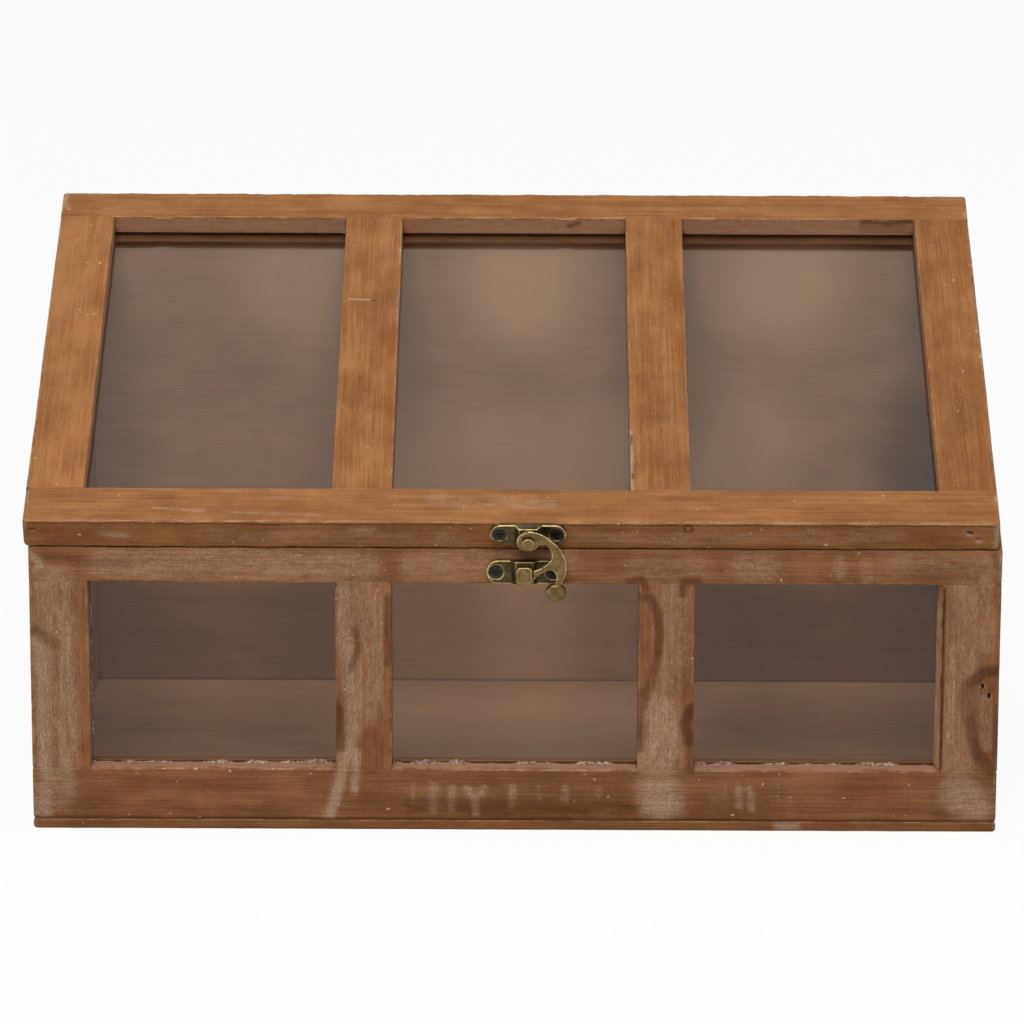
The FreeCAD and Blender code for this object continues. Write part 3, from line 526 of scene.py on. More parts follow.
def stained_wood(name, dark, middle, pale):
    """Red-brown stain on planed softwood: long straight fibres, faint bands and clouds, pale worn arrises and
    a dark line on some, chalky water marks, dark damp stains, painted shade in corners, and a duller coat
    inside with painted pools of light and painted shade on it."""
    wood = Finish(name)
    grain = wood.remembered("grain", vector=True)
    inside = wood.remembered("inside")
    outside = wood.sum("SUBTRACT", 1.0, inside)
    fibre = wood.mottle(grain, (0.030, 1.9, 1.9), 4.0, 0.62)
    band = wood.mottle(grain, (0.010, 0.30, 0.30), 3.0, 0.5)
    cloud = wood.mottle(grain, (0.045, 0.075, 0.075), 3.0, 0.55)
    weave = wood.mottle(grain, (0.9, 2.3, 2.3), 2.0, 0.6)
    patchy = wood.mottle(grain, (0.16, 0.5, 0.5), 4.0, 0.7)

    tone = wood.weighed(wood.sum("ADD", wood.remembered("shade"), -0.25),
                        (cloud, 0.50), (weave, 0.30), (band, 0.22), (fibre, 0.48))
    stain = wood.shades(tone, (0.38, dark), (0.50, middle), (0.62, pale))
    calm = wood.weighed(0.0, (fibre, 0.40), (cloud, 0.45), (band, 0.15))
    dull = wood.shades(calm, *zip((0.34, 0.50, 0.66), INSIDE))
    # Painted pools of light on the coat inside
    dull = wood.laid_over(dull, LIGHT_POOL_COLOUR, wood.sum("MULTIPLY", wood.remembered("sun"), 0.75))
    colour = wood.laid_over(stain, dull, inside)
    speck = wood.between(wood.mottle(grain, 0.55, 0.0), 0.835, 0.87, 0.0, 0.8)
    colour = wood.laid_over(colour, PALE_SPECKS, wood.sum("MULTIPLY", speck, outside))

    bare = wood.sum("MULTIPLY", wood.remembered("bare"), wood.between(patchy, 0.3, 0.6, 0.35, 0.85))
    colour = wood.laid_over(colour, BARE_WOOD, bare)
    worn = wood.remembered("worn")
    rubbed = wood.sum("MULTIPLY", wood.sum("MAXIMUM", worn, 0.0),
                      wood.between(patchy, 0.44, 0.62, 0.04, 0.60))
    colour = wood.laid_over(colour, RUBBED_WOOD, rubbed)
    dark_line = wood.between(wood.sum("MULTIPLY", worn, -1.0), 0.2, 0.9, 0.0, 0.92)
    colour = wood.laid_over(colour, DARK_ARRIS_LINE, dark_line, "MULTIPLY")

    hazy = wood.remembered("haze")
    under_haze = wood.sum("MINIMUM", wood.sum("MULTIPLY", hazy, 3.0), 1.0)
    haze = wood.sum("MULTIPLY_ADD", wood.between(patchy, 0.25, 0.75, -0.22, 0.22), under_haze, hazy)
    chalk = wood.between(wood.weighed(0.0, (fibre, 0.25), (weave, 0.75)), 0.42, 0.64, 0.40, 1.0)
    chalk = wood.sum("MULTIPLY", wood.between(haze, 0.0, 1.1, 0.0, 0.95), chalk)
    colour = wood.laid_over(colour, CHALK, chalk)
    # Damp stains on the front and lid, and painted shade on the back and base boards
    damp = wood.sum("MULTIPLY_ADD", wood.between(patchy, 0.25, 0.75, -0.18, 0.18), outside,
                    wood.remembered("damp"))
    colour = wood.laid_over(colour, DAMP_AND_SHADE_TINT, wood.between(damp, 0.10, 0.95, 0.0, 0.85), "MULTIPLY")
    # Painted shade in the corners between the pieces and by the glass
    colour = wood.shaded_in_corners(colour, CORNER_SHADE, 0.003, 0.35, 0.72, 0.80)

    wood.give("Base Color", colour)
    wood.give("Roughness", wood.between(fibre, 0.3, 0.7, 0.74, 0.56))
    wood.give("Specular IOR Level", 0.2)
    rough = wood.sum("MULTIPLY", wood.weighed(0.0, (weave, 0.3), (fibre, 0.7)),
                     wood.between(inside, 0.0, 1.0, 1.0, 0.25))
    wood.relief(rough, 0.45, 0.0004)
    return wood.material


front_stain = stained_wood("front_stain", (0.190, 0.072, 0.024), (0.272, 0.108, 0.040), (0.355, 0.152, 0.062))

# Where water ran down the front it left chalky drips, and where it stood it left dark stains: for each, its
# kind, its strength, its half width, and the line it follows across and up the frame
DRIPS = [
    ("haze", 0.52, 9.0, (-180, 96), (-180, 44), (-181, 12)),
    ("haze", 0.75, 3.6, (-186.5, 73), (-185, 55), (-184.5, 35), (-184.5, 15), (-185.5, 2)),
    ("haze", 0.65, 3.8, (-176, 88), (-176.5, 70), (-176, 45), (-176.5, 20), (-176.8, 13)),
    ("haze", 0.45, 4.0, (-182, 100), (-178, 86)),
    ("haze", 0.42, 8.0, (-59, 92), (-59, 46)),
    ("haze", 0.65, 3.8, (-66.5, 93), (-66, 78), (-64, 60), (-63.5, 40), (-66, 28)),
    ("haze", 0.95, 2.2, (-65.2, 31), (-69, 15), (-73.2, 1)),
    ("haze", 0.80, 1.7, (-62.0, 28), (-63.0, 12)),
    ("haze", 0.50, 3.2, (-54, 90), (-54.5, 50)),
    ("haze", 0.42, 6.5, (62, 92), (61, 56)),
    ("haze", 0.80, 8.0, (57, 46), (58, 36), (57, 24)),
    ("haze", 0.90, 8.8, (56.5, 11), (58, 8)),
    ("haze", 0.50, 1.3, (-39.8, 15), (-40.2, 7)),
    ("haze", 0.70, 1.8, (-31.8, 14), (-32, 4)),
    ("haze", 0.65, 1.5, (-24.6, 13), (-25, 4)),
    ("haze", 0.75, 1.7, (-18.5, 13), (-15.5, 8), (-15.2, 3)),
    ("haze", 0.60, 1.6, (-12, 13.5), (-15.2, 8)),
    ("haze", 0.60, 1.7, (-0.8, 14), (-1.2, 6)),
    ("haze", 0.45, 1.3, (9.8, 14), (9.9, 9)),
    ("haze", 0.50, 1.4, (20.2, 14), (20.0, 8)),
    ("haze", 0.40, 1.3, (33.0, 14), (33.2, 10)),
    ("haze", 0.16, 5.0, (-36, 10), (30, 11)),
    ("haze", 0.40, 1.5, (83, 15), (83.2, 11)),
    ("haze", 0.60, 1.5, (88.3, 14.5), (89, 6)),
    ("haze", 0.60, 1.6, (92.5, 14), (93.5, 5.5)),
    ("haze", 0.40, 1.4, (103.5, 14.5), (103.3, 10)),
    ("haze", 0.20, 5.0, (80, 11), (108, 11)),
    ("haze", 0.75, 8.0, (176, 12), (181, 7)),
    ("haze", 0.45, 8.0, (176, 92), (175, 24)),
    ("haze", 0.60, 2.6, (171.5, 70), (171, 34)),
    ("haze", 0.45, 3.4, (184, 106), (184, 72)),
    ("haze", 0.45, 3.2, (184.5, 50), (185, 32)),
    ("haze", 0.70, 0.8, (189.2, 109), (189.4, 99)),
    ("haze", 0.45, 7.0, (90, 105), (98, 104)),
    ("haze", 0.45, 2.6, (126.5, 107), (126.8, 101)),
    ("haze", 0.40, 2.6, (137, 106), (137.4, 99)),
    ("haze", 0.50, 7.0, (-160, 104), (-110, 105), (-58, 103)),
    ("haze", 0.40, 6.0, (-40, 104), (20, 106)),
    ("haze", 0.30, 6.0, (48, 104), (72, 103)),
    ("haze", 0.35, 5.0, (150, 106), (186, 104)),
    ("haze", 0.90, 1.5, (-188.5, 107), (-185, 105), (-187.5, 101)),
    ("damp", 0.75, 2.2, (48.6, 91.5), (53, 91), (56.0, 85)),
    ("damp", 0.88, 1.9, (56.0, 85), (56.6, 76), (56.0, 68)),
    ("damp", 0.65, 2.2, (56.0, 68), (53.5, 57), (50.4, 47)),
    ("damp", 0.28, 3.6, (51, 84), (51, 66)),
    ("damp", 0.70, 1.8, (49.4, 53), (49.4, 30)),
    ("damp", 0.95, 2.6, (69.4, 46), (67.2, 40), (68.8, 33)),
    ("damp", 0.50, 1.6, (69.8, 33), (69.6, 20)),
    ("damp", 0.80, 1.9, (65.5, 93), (66, 98.0), (71.5, 98.5)),
    ("damp", 0.75, 1.6, (44, 98), (49.5, 99), (51.5, 95)),
    ("damp", 0.70, 1.8, (-49.8, 91), (-49.8, 64)),
    ("damp", 0.75, 1.7, (-62.5, 78), (-61.2, 71), (-64, 62)),
    ("damp", 0.80, 2.6, (-69.5, 46), (-68.6, 30)),
    ("damp", 0.35, 3.4, (-57, 36), (-56, 22)),
    ("damp", 0.85, 2.6, (191, 62.5), (184, 61.5), (178.5, 57)),
    ("damp", 0.62, 3.6, (178.0, 56), (176.8, 50), (178.5, 43)),
    ("damp", 0.74, 2.6, (178.5, 43), (180.0, 34), (182.5, 27)),
    ("damp", 0.65, 3.0, (182.5, 27), (188, 21.5)),
    ("damp", 0.38, 5.0, (188, 59), (184, 57)),
    ("damp", 0.50, 1.8, (186.5, 110), (188.5, 104)),
    ("damp", 0.55, 1.4, (189.4, 48), (189.2, 25)),
    ("damp", 0.65, 3.0, (-187.5, 77), (-180, 71.5)),
    ("damp", 0.45, 1.6, (-179.6, 70), (-179.6, 57)),
    ("damp", 0.40, 2.2, (-181, 33), (-181, 22)),
    ("damp", 0.50, 2.4, (-184, 106), (-150, 104)),
    ("damp", 0.30, 3.2, (-173, 6), (-140, 4.5), (-102, 4)),
    ("damp", 0.62, 4.0, (-40, 6), (46, 5)),
    ("damp", 0.35, 3.0, (112, 5.5), (168, 4.5)),
    ("damp", 0.40, 1.8, (70, 110), (150, 109.5)),
    ("damp", 0.35, 3.4, (150, 103), (168, 101)),
    ("damp", 0.90, 0.8, (-190, 0.1), (190, 0.1)),
    ("damp", 1.00, 0.50, (167.9, 22), (167.9, 96)),
    ("chip", 0.40, 1.2, (-82, 98.2), (-79, 98.0)),
    ("chip", 0.60, 1.4, (-167.5, 31), (-167.4, 27)),
    ("chip", 0.50, 1.0, (-48.6, 40), (-48.6, 30)),
    ("chip", 0.50, 1.3, (70, 45), (70, 41)),
    ("chip", 0.70, 1.6, (189.5, 99.5), (189.5, 96)),
    ("chip", 0.50, 1.0, (189.8, 62), (189.8, 56)),
]
# Two pins have left small upright holes on the right, dark inside and pale around
for across, top, bottom in ((183.5, 56.3, 55.1), (186.1, 52.6, 51.4)):
    pit = (across, top), (across, bottom)
    DRIPS += [("hole", 1.9, 0.45, *pit), ("damp", 1.2, 0.45, *pit),
              ("haze", 1.6, 1.0, (across, (top + bottom) / 2))]

FRONT_PLACE = Matrix.Translation(Vector((0, -HALF_DEPTH, BASE)) * MM)
RAIL = dict(turn=LEVEL, grain=(-HALF_WIDTH, HALF_WIDTH), stopped=10)
FRONT_UPRIGHT = dict(turn=UPRIGHT, grain=OPENING, ends=(BUTT, BUTT))
FRONT_MULLION = dict(FRONT_UPRIGHT, radii=(0.7, 0.7, 0.3, 0.3), grooves=("low", "high"))
# Each slat lies between its low and high edge, and its radii go from its lower front arris round to the back
FRONT = {
    "front_bottom_rail": dict(RAIL, low=0, high=OPENING[0], radii=(0.5, 0.7, 0.3, 0.3), ends=(1.6, 1.6),
                              grooves=("high",), shade=-0.035, number=1),
    "front_top_rail": dict(RAIL, low=OPENING[1], high=111, radii=(0.6, 0.3, 0.3, 0.3), ends=(1.2, 1.2),
                           grooves=("low",), slope=math.tan(SLOPE), number=2),
    "front_stile_left": dict(FRONT_UPRIGHT, low=-HALF_WIDTH, high=-167, radii=(1.2, 0.7, 0.3, 0.3),
                             grooves=("high",), number=3),
    "front_mullion_left": dict(FRONT_MULLION, low=-70.35, high=-48.35, number=4),
    "front_mullion_right": dict(FRONT_MULLION, low=48.35, high=70.35, number=5),
    "front_stile_right": dict(FRONT_UPRIGHT, low=167, high=HALF_WIDTH, radii=(0.7, 1.2, 0.3, 0.3),
                              grooves=("low",), splay=1.5, pitch=0.5, arris=(ROUND, (0, -0.5, -1, -1, -1)),
                              low_side_marks=[("worn", 2.6, 8, (21, 4), (97, 4)),
                                              ("haze", 0.30, 8, (21, 4), (97, 4))], number=6),
}


def turned(marks):
    """The same marks for an upright slat, whose grain runs up."""
    return [(kind, strength, width, *[(up, across) for across, up in line])
            for kind, strength, width, *line in marks]


def framed(node, cuts, marks):
    """A slat of a frame: an upright, or a rail that stays sharp where the uprights meet it."""
    cut = cuts[node]
    if cut["turn"] is UPRIGHT:
        return slat(node, marks=turned(marks), **cut)
    joints = [(other["low"], other["high"]) for other in cuts.values() if other["turn"] is UPRIGHT]
    return slat(node, marks=marks, joints=joints, **cut)


for node in FRONT:
    piece = framed(node, FRONT, DRIPS)
    piece.matrix_world = FRONT_PLACE
    dress(piece, node, "box", front_stain)

# Lid frame
# The lid is made as the front is: rails the full width at the eave and the ridge, four uprights between them,
# all at the roof's slope. Its eave rail overhangs the front by the thickness of the slats.
LID_OPENING = (21.5, 208.41)
LID_RISE = 226.41
# Where the lid's lower front arris lies when it is closed, a little to the left of the box's middle
LID_PLACE = (Matrix.Translation(Vector((-1.6, -109.5795, 127.0802)) * MM)
             @ Matrix.Rotation(SLOPE - math.pi / 2, 4, "X"))
# The eave's front arris is rubbed pale above and has a dark line below, and its edge has a small knot
EAVE = (ROUND, (-0.75, -0.4, 1, 0.7, 0.1))
KNOT_AT = (68.8, 2.7)
KNOT_RADIUS = 1.7
KNOT = [(KNOT_AT[0] + KNOT_RADIUS * math.cos(turn * math.pi / 4),
         KNOT_AT[1] + KNOT_RADIUS * math.sin(turn * math.pi / 4)) for turn in range(9)]
# What years of use have done to the lid: splintered arrises, scratches and stains, across and up the slope
KNOCKS = [
    ("chip", 0.9, 1.3, (-150, 208.6), (-145, 208.4)),
    ("chip", 0.7, 1.2, (20, 208.5), (23, 208.5)),
    ("chip", 0.9, 0.9, (-70.0, 136), (-69.6, 120), (-70.0, 101)),
    ("chip", 0.8, 0.8, (-70.2, 176), (-70.1, 168)),
    ("chip", 1.1, 1.0, (47.0, 56), (47.3, 47), (46.9, 44)),
    ("chip", 1.2, 1.1, (47.0, 37), (47.4, 30), (46.9, 22)),
    ("chip", 0.6, 0.9, (-47.0, 160), (-46.8, 140)),
    ("chip", 0.6, 1.4, (-189.8, 72), (-189.8, 64)),
    ("chip", 0.6, 1.2, (-189.8, 34), (-189.8, 30)),
    ("chip", 0.6, 1.2, (189.8, 150), (189.8, 146)),
    ("chip", 0.25, 1.6, (-110, 226), (-104, 226)),
    ("chip", 0.25, 1.6, (96, 226), (103, 226)),
    ("haze", 1.0, 0.9, (189.4, 213.5), (189.4, 210.5)),
    ("haze", 1.0, 0.8, (189.4, 175.8), (189.4, 174.4)),
    ("haze", 1.0, 0.8, (189.4, 112.8), (189.4, 111.2)),
    ("haze", 1.0, 0.8, (189.4, 17.4), (189.4, 15.2)),
    ("haze", 0.95, 0.6, (-67.2, 149.2), (-59.0, 148.9)),
    ("damp", 0.90, 0.5, (-58.0, 148.4), (-56.6, 148.3)),
    ("haze", 0.75, 0.9, (-189, 221), (-187.2, 213)),
    ("haze", 0.55, 0.8, (-140, 8.6), (-120, 6.6)),
    ("haze", 0.50, 0.8, (-112, 6.0), (-74, 4.4)),
    ("haze", 0.45, 0.8, (-96, 15.5), (-82, 15)),
    ("haze", 0.80, 0.8, (-190, 214), (-188.4, 226)),
    ("haze", 0.50, 0.8, (-172, 214.6), (-166, 214.4)),
    ("haze", 0.60, 0.8, (-47.2, 186), (-47.2, 174)),
    ("haze", 0.60, 0.8, (-47.4, 152), (-47.4, 134)),
    ("haze", 0.95, 0.8, (47.0, 60), (47.3, 48), (46.9, 36), (47.2, 22)),
    ("damp", 0.90, 0.6, (47.4, 57), (47.4, 52)),
    ("damp", 0.90, 0.6, (47.6, 33), (47.6, 30)),
    ("haze", 0.35, 4.0, (-30, 14), (14, 12)),
    ("damp", 0.30, 5.0, (-54, 176), (-52, 150)),
    ("damp", 0.25, 6.0, (-60, 92), (-58, 60)),
    ("damp", 0.30, 4.5, (58, 128), (58, 96)),
    ("damp", 0.25, 5.0, (60, 70), (57, 38)),
    ("damp", 0.35, 4.5, (-186, 8), (-172, 5)),
    ("damp", 0.30, 4.0, (60, 212), (64, 204)),
    ("damp", 0.30, 4.0, (-40, 17), (-48, 12)),
    ("damp", 0.25, 6.0, (178, 120), (180, 60)),
    ("damp", 0.45, 1.6, (146, 208.6), (163, 208.8)),
]
LID_UPRIGHT = dict(turn=UPRIGHT, grain=LID_OPENING, ends=(BUTT, BUTT))
LID_MULLION = dict(LID_UPRIGHT, radii=(0.6, 0.6, 0.3, 0.3), grooves=("low", "high"), pitch=0.8)
LID = {
    "lid_bottom_rail": dict(RAIL, low=0, high=LID_OPENING[0], radii=(1.2, 0.6, 0.3, 1.2), ends=(2.0, 1.2),
                            grooves=("high",), pitch=0.9, arris=EAVE, number=11,
                            low_side_marks=[
                                ("chip", 0.9, 0.5, (-187.0, 4.5), (-185.0, 4.5)),
                                ("damp", 0.9, 0.5, *KNOT),
                                ("chip", 1.0, 0.7, (177.6, 4.3), (179.0, 4.7)),
                                ("damp", 0.9, 0.6, (177.6, 4.3), (179.0, 4.7)),
                                ("chip", 0.8, 0.7, (181.4, 7.6), (182.4, 8.0)),
                                ("haze", 0.5, 1.6, (177.0, 4.0), (182.5, 8.2)),
                                ("haze", 0.8, 1.1, (188.9, 2.0), (188.7, 11.0)),
                                ("haze", 0.60, 1.5, (-160, 6.0), (-150, 7.4)),
                                ("haze", 0.55, 1.4, (-62, 3.9), (-53, 3.9)),
                                ("haze", 0.30, 4.0, (-120, 7), (-20, 8)),
                                ("haze", 0.30, 4.0, (30, 8), (150, 6)),
                                ("damp", 0.35, 1.5, (-190, 11.8), (190, 11.8))]),
    "lid_top_rail": dict(RAIL, low=LID_OPENING[1], high=LID_RISE, radii=(0.6, 1.2, 0.3, 0.3), ends=(1.2, 1.2),
                         grooves=("low",), number=12,
                         low_side_marks=[("damp", 0.9, 1.3, (146, 1.2), (156, 2.2), (166, 1.0)),
                                         ("damp", 0.8, 1.3, (23, 4.0), (27, 2.6))]),
    "lid_stile_left": dict(LID_UPRIGHT, low=-HALF_WIDTH, high=-167.5, radii=(1.2, 0.6, 0.3, 1.2),
                           grooves=("high",), shade=0.055, number=13),
    "lid_mullion_left": dict(LID_MULLION, low=-70.2, high=-46.7, number=14),
    "lid_mullion_right": dict(LID_MULLION, low=46.7, high=70.2, number=15),
    "lid_stile_right": dict(LID_UPRIGHT, low=167.5, high=HALF_WIDTH, radii=(0.6, 1.2, 1.2, 0.3),
                            grooves=("low",), shade=-0.04, number=16),
}
lid_stain = stained_wood("lid_stain", (0.250, 0.092, 0.025), (0.335, 0.133, 0.040), (0.432, 0.188, 0.064))
for node in LID:
    piece = framed(node, LID, KNOCKS)
    piece.matrix_world = LID_PLACE
    dress(piece, node, "lid", lid_stain)

# Base, ends and back
# Four plain boards under the same stain, duller inside: the base is nailed up under the rest, the ends have
# their upper edges planed to the slope, and the back is nailed to the ends.
FACING_DOWN = Matrix(((1, 0, 0), (0, 1, 0), (0, 0, 1)))
FACING_LEFT = Matrix(((0, 0, 1), (1, 0, 0), (0, 1, 0)))
FACING_RIGHT = Matrix(((0, 0, -1), (1, 0, 0), (0, 1, 0)))
FACING_BACK = Matrix(((1, 0, 0), (0, 0, -1), (0, 1, 0)))
# The ends stand between the front frame and the back, and their tops rise by the roof's slope
HALF_END = HALF_DEPTH - STOCK
RISE = 2 * HALF_END * math.tan(SLOPE)
# Painted pools of light on the back board behind each pane of the lid, and painted shade on it low down,
# towards its ends and between the pools
BACK_LIGHT_POOLS_AND_SHADE = [
    ("sun", 0.55, 26, (-88, 196), (-94, 178)),
    ("sun", 0.90, 25, (2, 196), (2, 176)),
    ("sun", 0.25, 24, (-4, 70), (4, 10)),
    ("sun", 0.50, 24, (-36, 100), (36, 100)),
    ("sun", 0.80, 26, (114, 196), (112, 178)),
    ("sun", 0.60, 22, (100, 112), (90, 98)),
    ("damp", 0.62, 32, (-190, 24), (-84, 24)),
    ("damp", 0.78, 34, (84, 24), (190, 24)),
    ("damp", 0.25, 26, (-70, 20), (70, 20)),
    ("damp", 0.86, 34, (190, 60), (182, 104)),
    ("damp", 0.42, 24, (187, 100), (187, 190)),
    ("damp", 0.35, 30, (-140, 150), (-118, 146)),
    ("damp", 0.25, 18, (58, 150), (70, 120)),
    ("damp", 0.20, 20, (-46, 150), (-40, 130)),
]
# A painted pool of light in the middle of the base board, and painted shade towards its ends
BASE_LIGHT_POOL_AND_SHADE = [
    ("sun", 0.55, 40, (-34, 30), (34, 30)),
    ("damp", 0.36, 44, (-156, 36), (-104, 36)),
    ("damp", 0.44, 44, (104, 36), (156, 36)),
]
BASE_EDGE = [("haze", 0.7, 2.2, (104, 2), (111, 2))]
LENGTHWISE = dict(grain=(-HALF_WIDTH, HALF_WIDTH), inside=True)
END_BOARD = dict(grain=(-HALF_END, HALF_END), low=BASE, high=197.77 - RISE, rise=RISE, thickness=10,
                 radii=(0.3, 0.6, 0.3, 0.3), ends=(BUTT, BUTT), inside=True)
# Each board and where its face lies in the box
BOARDS = {
    "base_board": (dict(LENGTHWISE, turn=FACING_DOWN, low=-HALF_DEPTH, high=HALF_DEPTH, thickness=BASE,
                        radii=(0.5, 0.5, 0.4, 0.4), ends=(1.5, 1.5), shade=-0.06, marks=BASE_LIGHT_POOL_AND_SHADE,
                        low_side_marks=BASE_EDGE, number=21),
                   (0, 0, 0)),
    "side_board_left": (dict(END_BOARD, turn=FACING_LEFT, number=22), (-HALF_WIDTH, 0, 0)),
    "side_board_right": (dict(END_BOARD, turn=FACING_RIGHT, number=23), (HALF_WIDTH, 0, 0)),
    "back_board": (dict(LENGTHWISE, turn=FACING_BACK, low=BASE, high=203.29, slope=-math.tan(SLOPE),
                        radii=(0.3, 0.3, 0.3, 0.3), ends=(1.2, 1.2), marks=BACK_LIGHT_POOLS_AND_SHADE, number=24),
                   (0, HALF_DEPTH, 0)),
}
for node, (cut, place) in BOARDS.items():
    piece = slat(node, **cut)
    piece.matrix_world = Matrix.Translation(Vector(place) * MM)
    dress(piece, node, "box", front_stain)


# Panes
# Six panes of thin window glass in the grooves of the slats. Clear, but they mirror the white studio a
# little, and more on the lid, where the eye meets them at a slant.
def clear_glass(tree):
    """See-through and a touch green: its outer side mirrors, and more so at a slant."""
    slant = tree.nodes.new("ShaderNodeFresnel")
    slant.inputs["IOR"].default_value = 1.45
    side = tree.nodes.new("ShaderNodeNewGeometry")
    outer = worked_out(tree, "SUBTRACT", 1, side.outputs["Backfacing"])
    share = worked_out(tree, "MULTIPLY", slant.outputs[0], outer)
    through = one_colour(tree, "ShaderNodeBsdfTransparent", (0.93, 0.95, 0.94))
    mirror = one_colour(tree, "ShaderNodeBsdfGlossy", WHITE, Roughness=0.02)
    return mixed(tree, share, through, mirror)


window_glass = surfaced("window_glass", clear_glass)
for which in ("front", "lid"):
    for part in ("left", "middle", "right"):
        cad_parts[f"{which}_pane_{part}"].material_slots[0].material = window_glass

# Glazing putty
# A thin crumbling bead where the front panes stand on the bottom rail, and traces of it up the left edge of
# the left pane and in the upper corner of the lid's left pane. Dried grey-pink, cracked, and lost in places.
PUTTY_PITCH = 0.8
# How many crumbs and lumps it has to a millimetre, and how little is left of it where it's lost
CRUMBS = 0.9
LUMPS = 0.16
LEAST = 0.04


def bead(name, runs):
    """Beads against the glass: each run is a start, an end, the way out along the ledge, the way up the
    glass, and how far it reaches out and up, in millimetres."""
    points, faces = [], []
    for start, end, outwards, upwards, reach, rise in runs:
        start, end, outwards, upwards = Vector(start), Vector(end), Vector(outwards), Vector(upwards)
        steps = round((end - start).length / PUTTY_PITCH)
        first = len(points)
        for step in range(steps + 1):
            at = start.lerp(end, step / steps)
            rough = [0.5 + 1.1 * noise.noise(at * CRUMBS + Vector((0, 0, 40 * salt))) for salt in range(3)]
            lump = max(LEAST, 0.45 + 1.4 * noise.noise(at * LUMPS))
            out, up = reach * lump * (0.5 + rough[0]), rise * lump * (0.5 + rough[1])
            belly = 0.35 + 0.35 * rough[2]
            points += [at, at + upwards * up, at + outwards * out * belly + upwards * up * (1.1 - belly),
                       at + outwards * out]
        for step in range(steps):
            for side in range(4):
                here, after = first + 4 * step, (side + 1) % 4
                faces.append((here + side, here + after, here + 4 + after, here + 4 + side))
        faces += [(first + 3, first + 2, first + 1, first),
                  (first + 4 * steps, first + 4 * steps + 1, first + 4 * steps + 2, first + 4 * steps + 3)]
    mesh = bpy.data.meshes.new(name)
    mesh.from_pydata([point * MM for point in points], [], faces)
    bm = bmesh.new()
    bm.from_mesh(mesh)
    bmesh.ops.recalc_face_normals(bm, faces=bm.faces)
    bm.to_mesh(mesh)
    bm.free()
    return put_in_scene(name, mesh)


def dried_putty():
    """Grey-pink crumbs, dark where they have cracked."""
    putty = Finish("dried_putty")
    place = putty.step("ShaderNodeTexCoord", {}, "Object")
    crumbs = putty.mottle(place, 900.0, 3.0, 0.7)
    putty.give("Base Color", putty.shades(crumbs, (0.38, (0.105, 0.060, 0.038)), (0.50, (0.30, 0.19, 0.135)),
                                          (0.66, (0.60, 0.47, 0.39))))
    putty.give("Roughness", putty.between(crumbs, 0.3, 0.7, 0.9, 0.7))
    putty.relief(crumbs, 0.5, 0.0002)
    return putty.material


putty = dried_putty()
# How far in the panes' outer faces lie, and how high the ledge of the bottom rail is
GLASS = 7.95
LEDGE = 21.05
front_runs = [((low, GLASS, LEDGE), (high, GLASS, LEDGE), (0, -1, 0), (0, 0, 1), 1.3, 1.1)
              for low, high in ((-166.6, -70.8), (-47.9, 47.9), (70.8, 164.9))]
front_runs.append(((-166.7, GLASS, 23), (-166.7, GLASS, 96), (0, -1, 0), (1, 0, 0), 1.0, 0.5))
lid_run = ((-76, GLASS, 208.3), (-71, GLASS, 208.3), (0, -1, 0), (0, 0, -1), 1.6, 1.1)
PUTTY = [("front_putty", front_runs, FRONT_PLACE, "box"), ("lid_putty", [lid_run], LID_PLACE, "lid")]
for name, runs, place, body in PUTTY:
    piece = bead(name, runs)
    piece.matrix_world = place
    piece.data.materials.append(putty)
    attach(piece, body)

# Hinges and swing latch
# Cheap stamped and cast brass with an antique finish: nearly black in the hollows, rubbed bright on the
# arrises. The plates and leaves are held by small cross-head screws, the hook turns on a rivet.
MELTING = 3


def cast(node, grit):
    """A piece of the model with its arrises melted as in a casting; it remembers which points stand proud."""
    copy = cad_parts[node].copy()
    copy.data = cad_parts[node].data.copy()
    copy.parent = None
    scene.collection.objects.link(copy)
    remesh = copy.modifiers.new("skin", "REMESH")
    remesh.mode = "VOXEL"
    remesh.voxel_size = grit * MM
    smooth = copy.modifiers.new("melt", "SMOOTH")
    smooth.factor = 0.5
    smooth.iterations = MELTING
    mesh = bpy.data.meshes.new_from_object(copy.evaluated_get(bpy.context.evaluated_depsgraph_get()))
    bpy.data.objects.remove(copy)
    mesh.shade_smooth()
    neighbours = [[] for vertex in mesh.vertices]
    for edge in mesh.edges:
        first, second = edge.vertices
        neighbours[first].append(second)
        neighbours[second].append(first)
    places = [vertex.co.copy() for vertex in mesh.vertices]
    proud = []
    for vertex, around in zip(mesh.vertices, neighbours):
        middle = sum((places[other] for other in around), Vector()) / len(around)
        proud.append((vertex.co - middle).dot(vertex.normal) / (grit * MM))
    for turn in range(2):
        proud = [0.5 * own + 0.5 * sum(proud[other] for other in around) / len(around)
                 for own, around in zip(proud, neighbours)]
    mesh.attributes.new("proud", "FLOAT", "POINT").data.foreach_set("value", proud)
    return put_in_scene(node + "_casting", mesh)


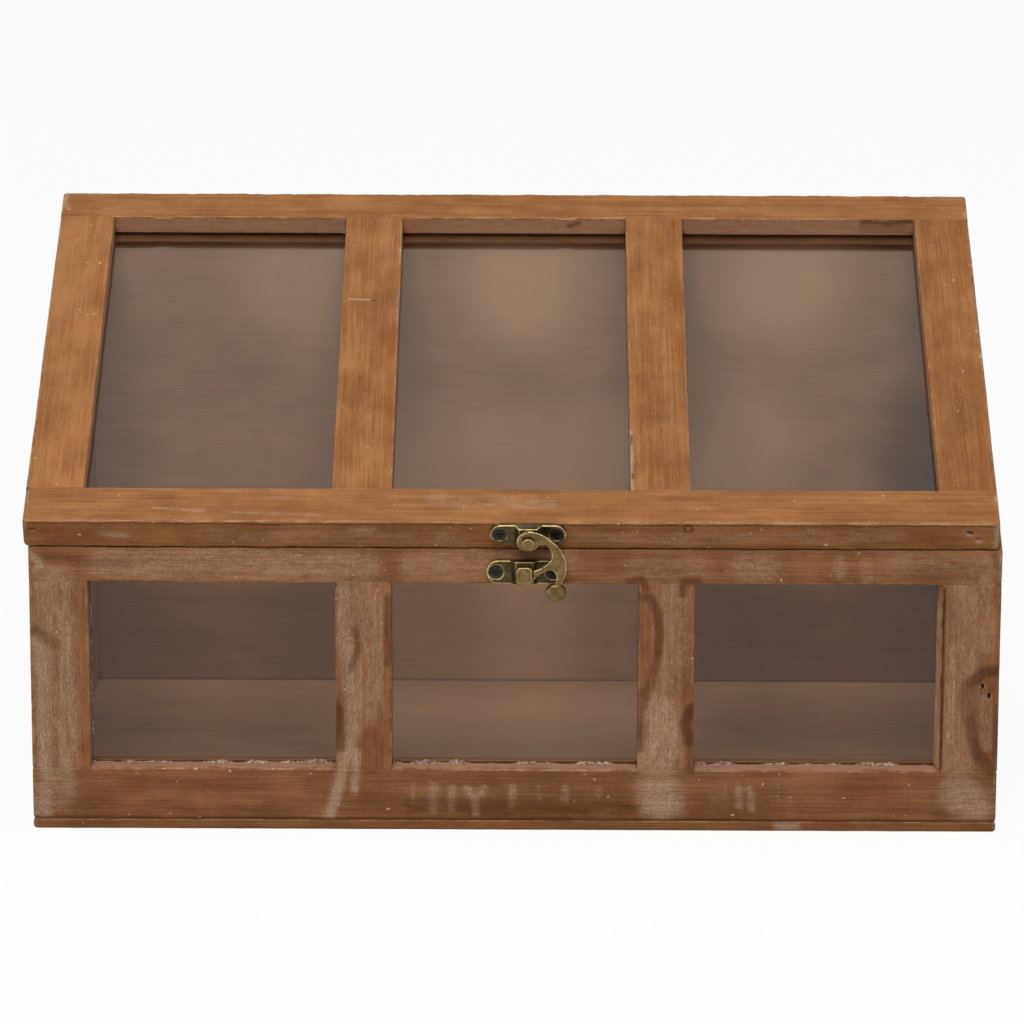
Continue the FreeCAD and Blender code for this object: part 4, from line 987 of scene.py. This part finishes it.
def antique_brass(name, patina_shades, rubbed_colour):
    """Brass under a dark patina: rubbed bright where it stands proud, nearly black in its hollows, and with
    painted shade in its corners.
    """
    brass = Finish(name)
    place = brass.step("ShaderNodeTexCoord", {}, "Object")
    cloud = brass.mottle(place, 320.0, 4.0, 0.65)
    grit = brass.mottle(place, 2600.0, 2.0, 0.6)
    proud = brass.remembered("proud")
    rub = brass.weighed(brass.sum("ADD", proud, -0.03), (cloud, 0.12))
    patina = brass.shades(brass.weighed(0.0, (cloud, 0.6), (grit, 0.4)),
                          *zip((0.36, 0.50, 0.66), patina_shades))
    colour = brass.laid_over(patina, rubbed_colour, brass.between(rub, 0.065, 0.15, 0.0, 0.9))
    colour = brass.laid_over(colour, (0.025, 0.018, 0.010), brass.between(proud, -0.11, -0.02, 0.9, 0.0))
    # Painted shade in the corners of the casting
    brass.give("Base Color", brass.shaded_in_corners(colour, (0.18, 0.14, 0.11), 0.0015, 0.3, 0.85, 0.9))
    brass.give("Metallic", 0.85)
    brass.give("Roughness", brass.between(cloud, 0.3, 0.7, 0.36, 0.54))
    brass.relief(grit, 0.3, 0.0001)
    return brass.material


stamped = antique_brass("dark_antique_brass", rubbed_colour=(0.82, 0.62, 0.25), patina_shades=(
    (0.030, 0.020, 0.008), (0.066, 0.046, 0.019), (0.135, 0.095, 0.040)))
polished = antique_brass("worn_antique_brass", rubbed_colour=(0.92, 0.70, 0.30), patina_shades=(
    (0.085, 0.056, 0.020), (0.180, 0.118, 0.045), (0.300, 0.205, 0.082)))
# For each node its body, the grit of its casting in millimetres, and its finish
CASTINGS = [("hook_plate", "lid", 0.22, stamped), ("catch_plate", "box", 0.22, stamped),
            ("swing_hook", "hook", 0.2, polished), ("catch_post", "box", 0.18, polished),
            ("hook_rivet", "lid", 0.16, polished)]
CASTINGS += [(f"hinge_leaf_{body}_{side}", body, 0.25, stamped)
             for body in ("box", "lid") for side in ("left", "right")]
for node, body, grit, finish in CASTINGS:
    dress(cast(node, grit), node, body, finish)


def dark_steel(name, dark, bright):
    """Small fasteners: clouded, with painted shade in their slots."""
    steel = Finish(name)
    place = steel.step("ShaderNodeTexCoord", {}, "Object")
    cloud = steel.mottle(place, 900.0, 4.0, 0.65)
    colour = steel.shades(cloud, (0.35, dark), (0.70, bright))
    # Painted shade in the slots
    steel.give("Base Color", steel.shaded_in_corners(colour, (0.2, 0.18, 0.16), 0.0008, 0.3, 0.8, 0.9))
    steel.give("Metallic", 0.8)
    steel.give("Roughness", steel.between(cloud, 0.3, 0.7, 0.55, 0.4))
    steel.relief(cloud, 0.3, 0.0001)
    return steel.material


screw_steel = dark_steel("blackened_screws", (0.016, 0.013, 0.012), (0.050, 0.042, 0.038))
for node in ("hook_plate_screws", "catch_screws", "hinge_screws_box", "hinge_screws_lid",
             "hinge_pin_left", "hinge_pin_right"):
    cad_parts[node].material_slots[0].material = screw_steel
brad_steel = dark_steel("rusted_brads", (0.060, 0.030, 0.016), (0.140, 0.080, 0.048))
for node in ("front_brads", "back_brads", "base_brads"):
    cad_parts[node].material_slots[0].material = brad_steel
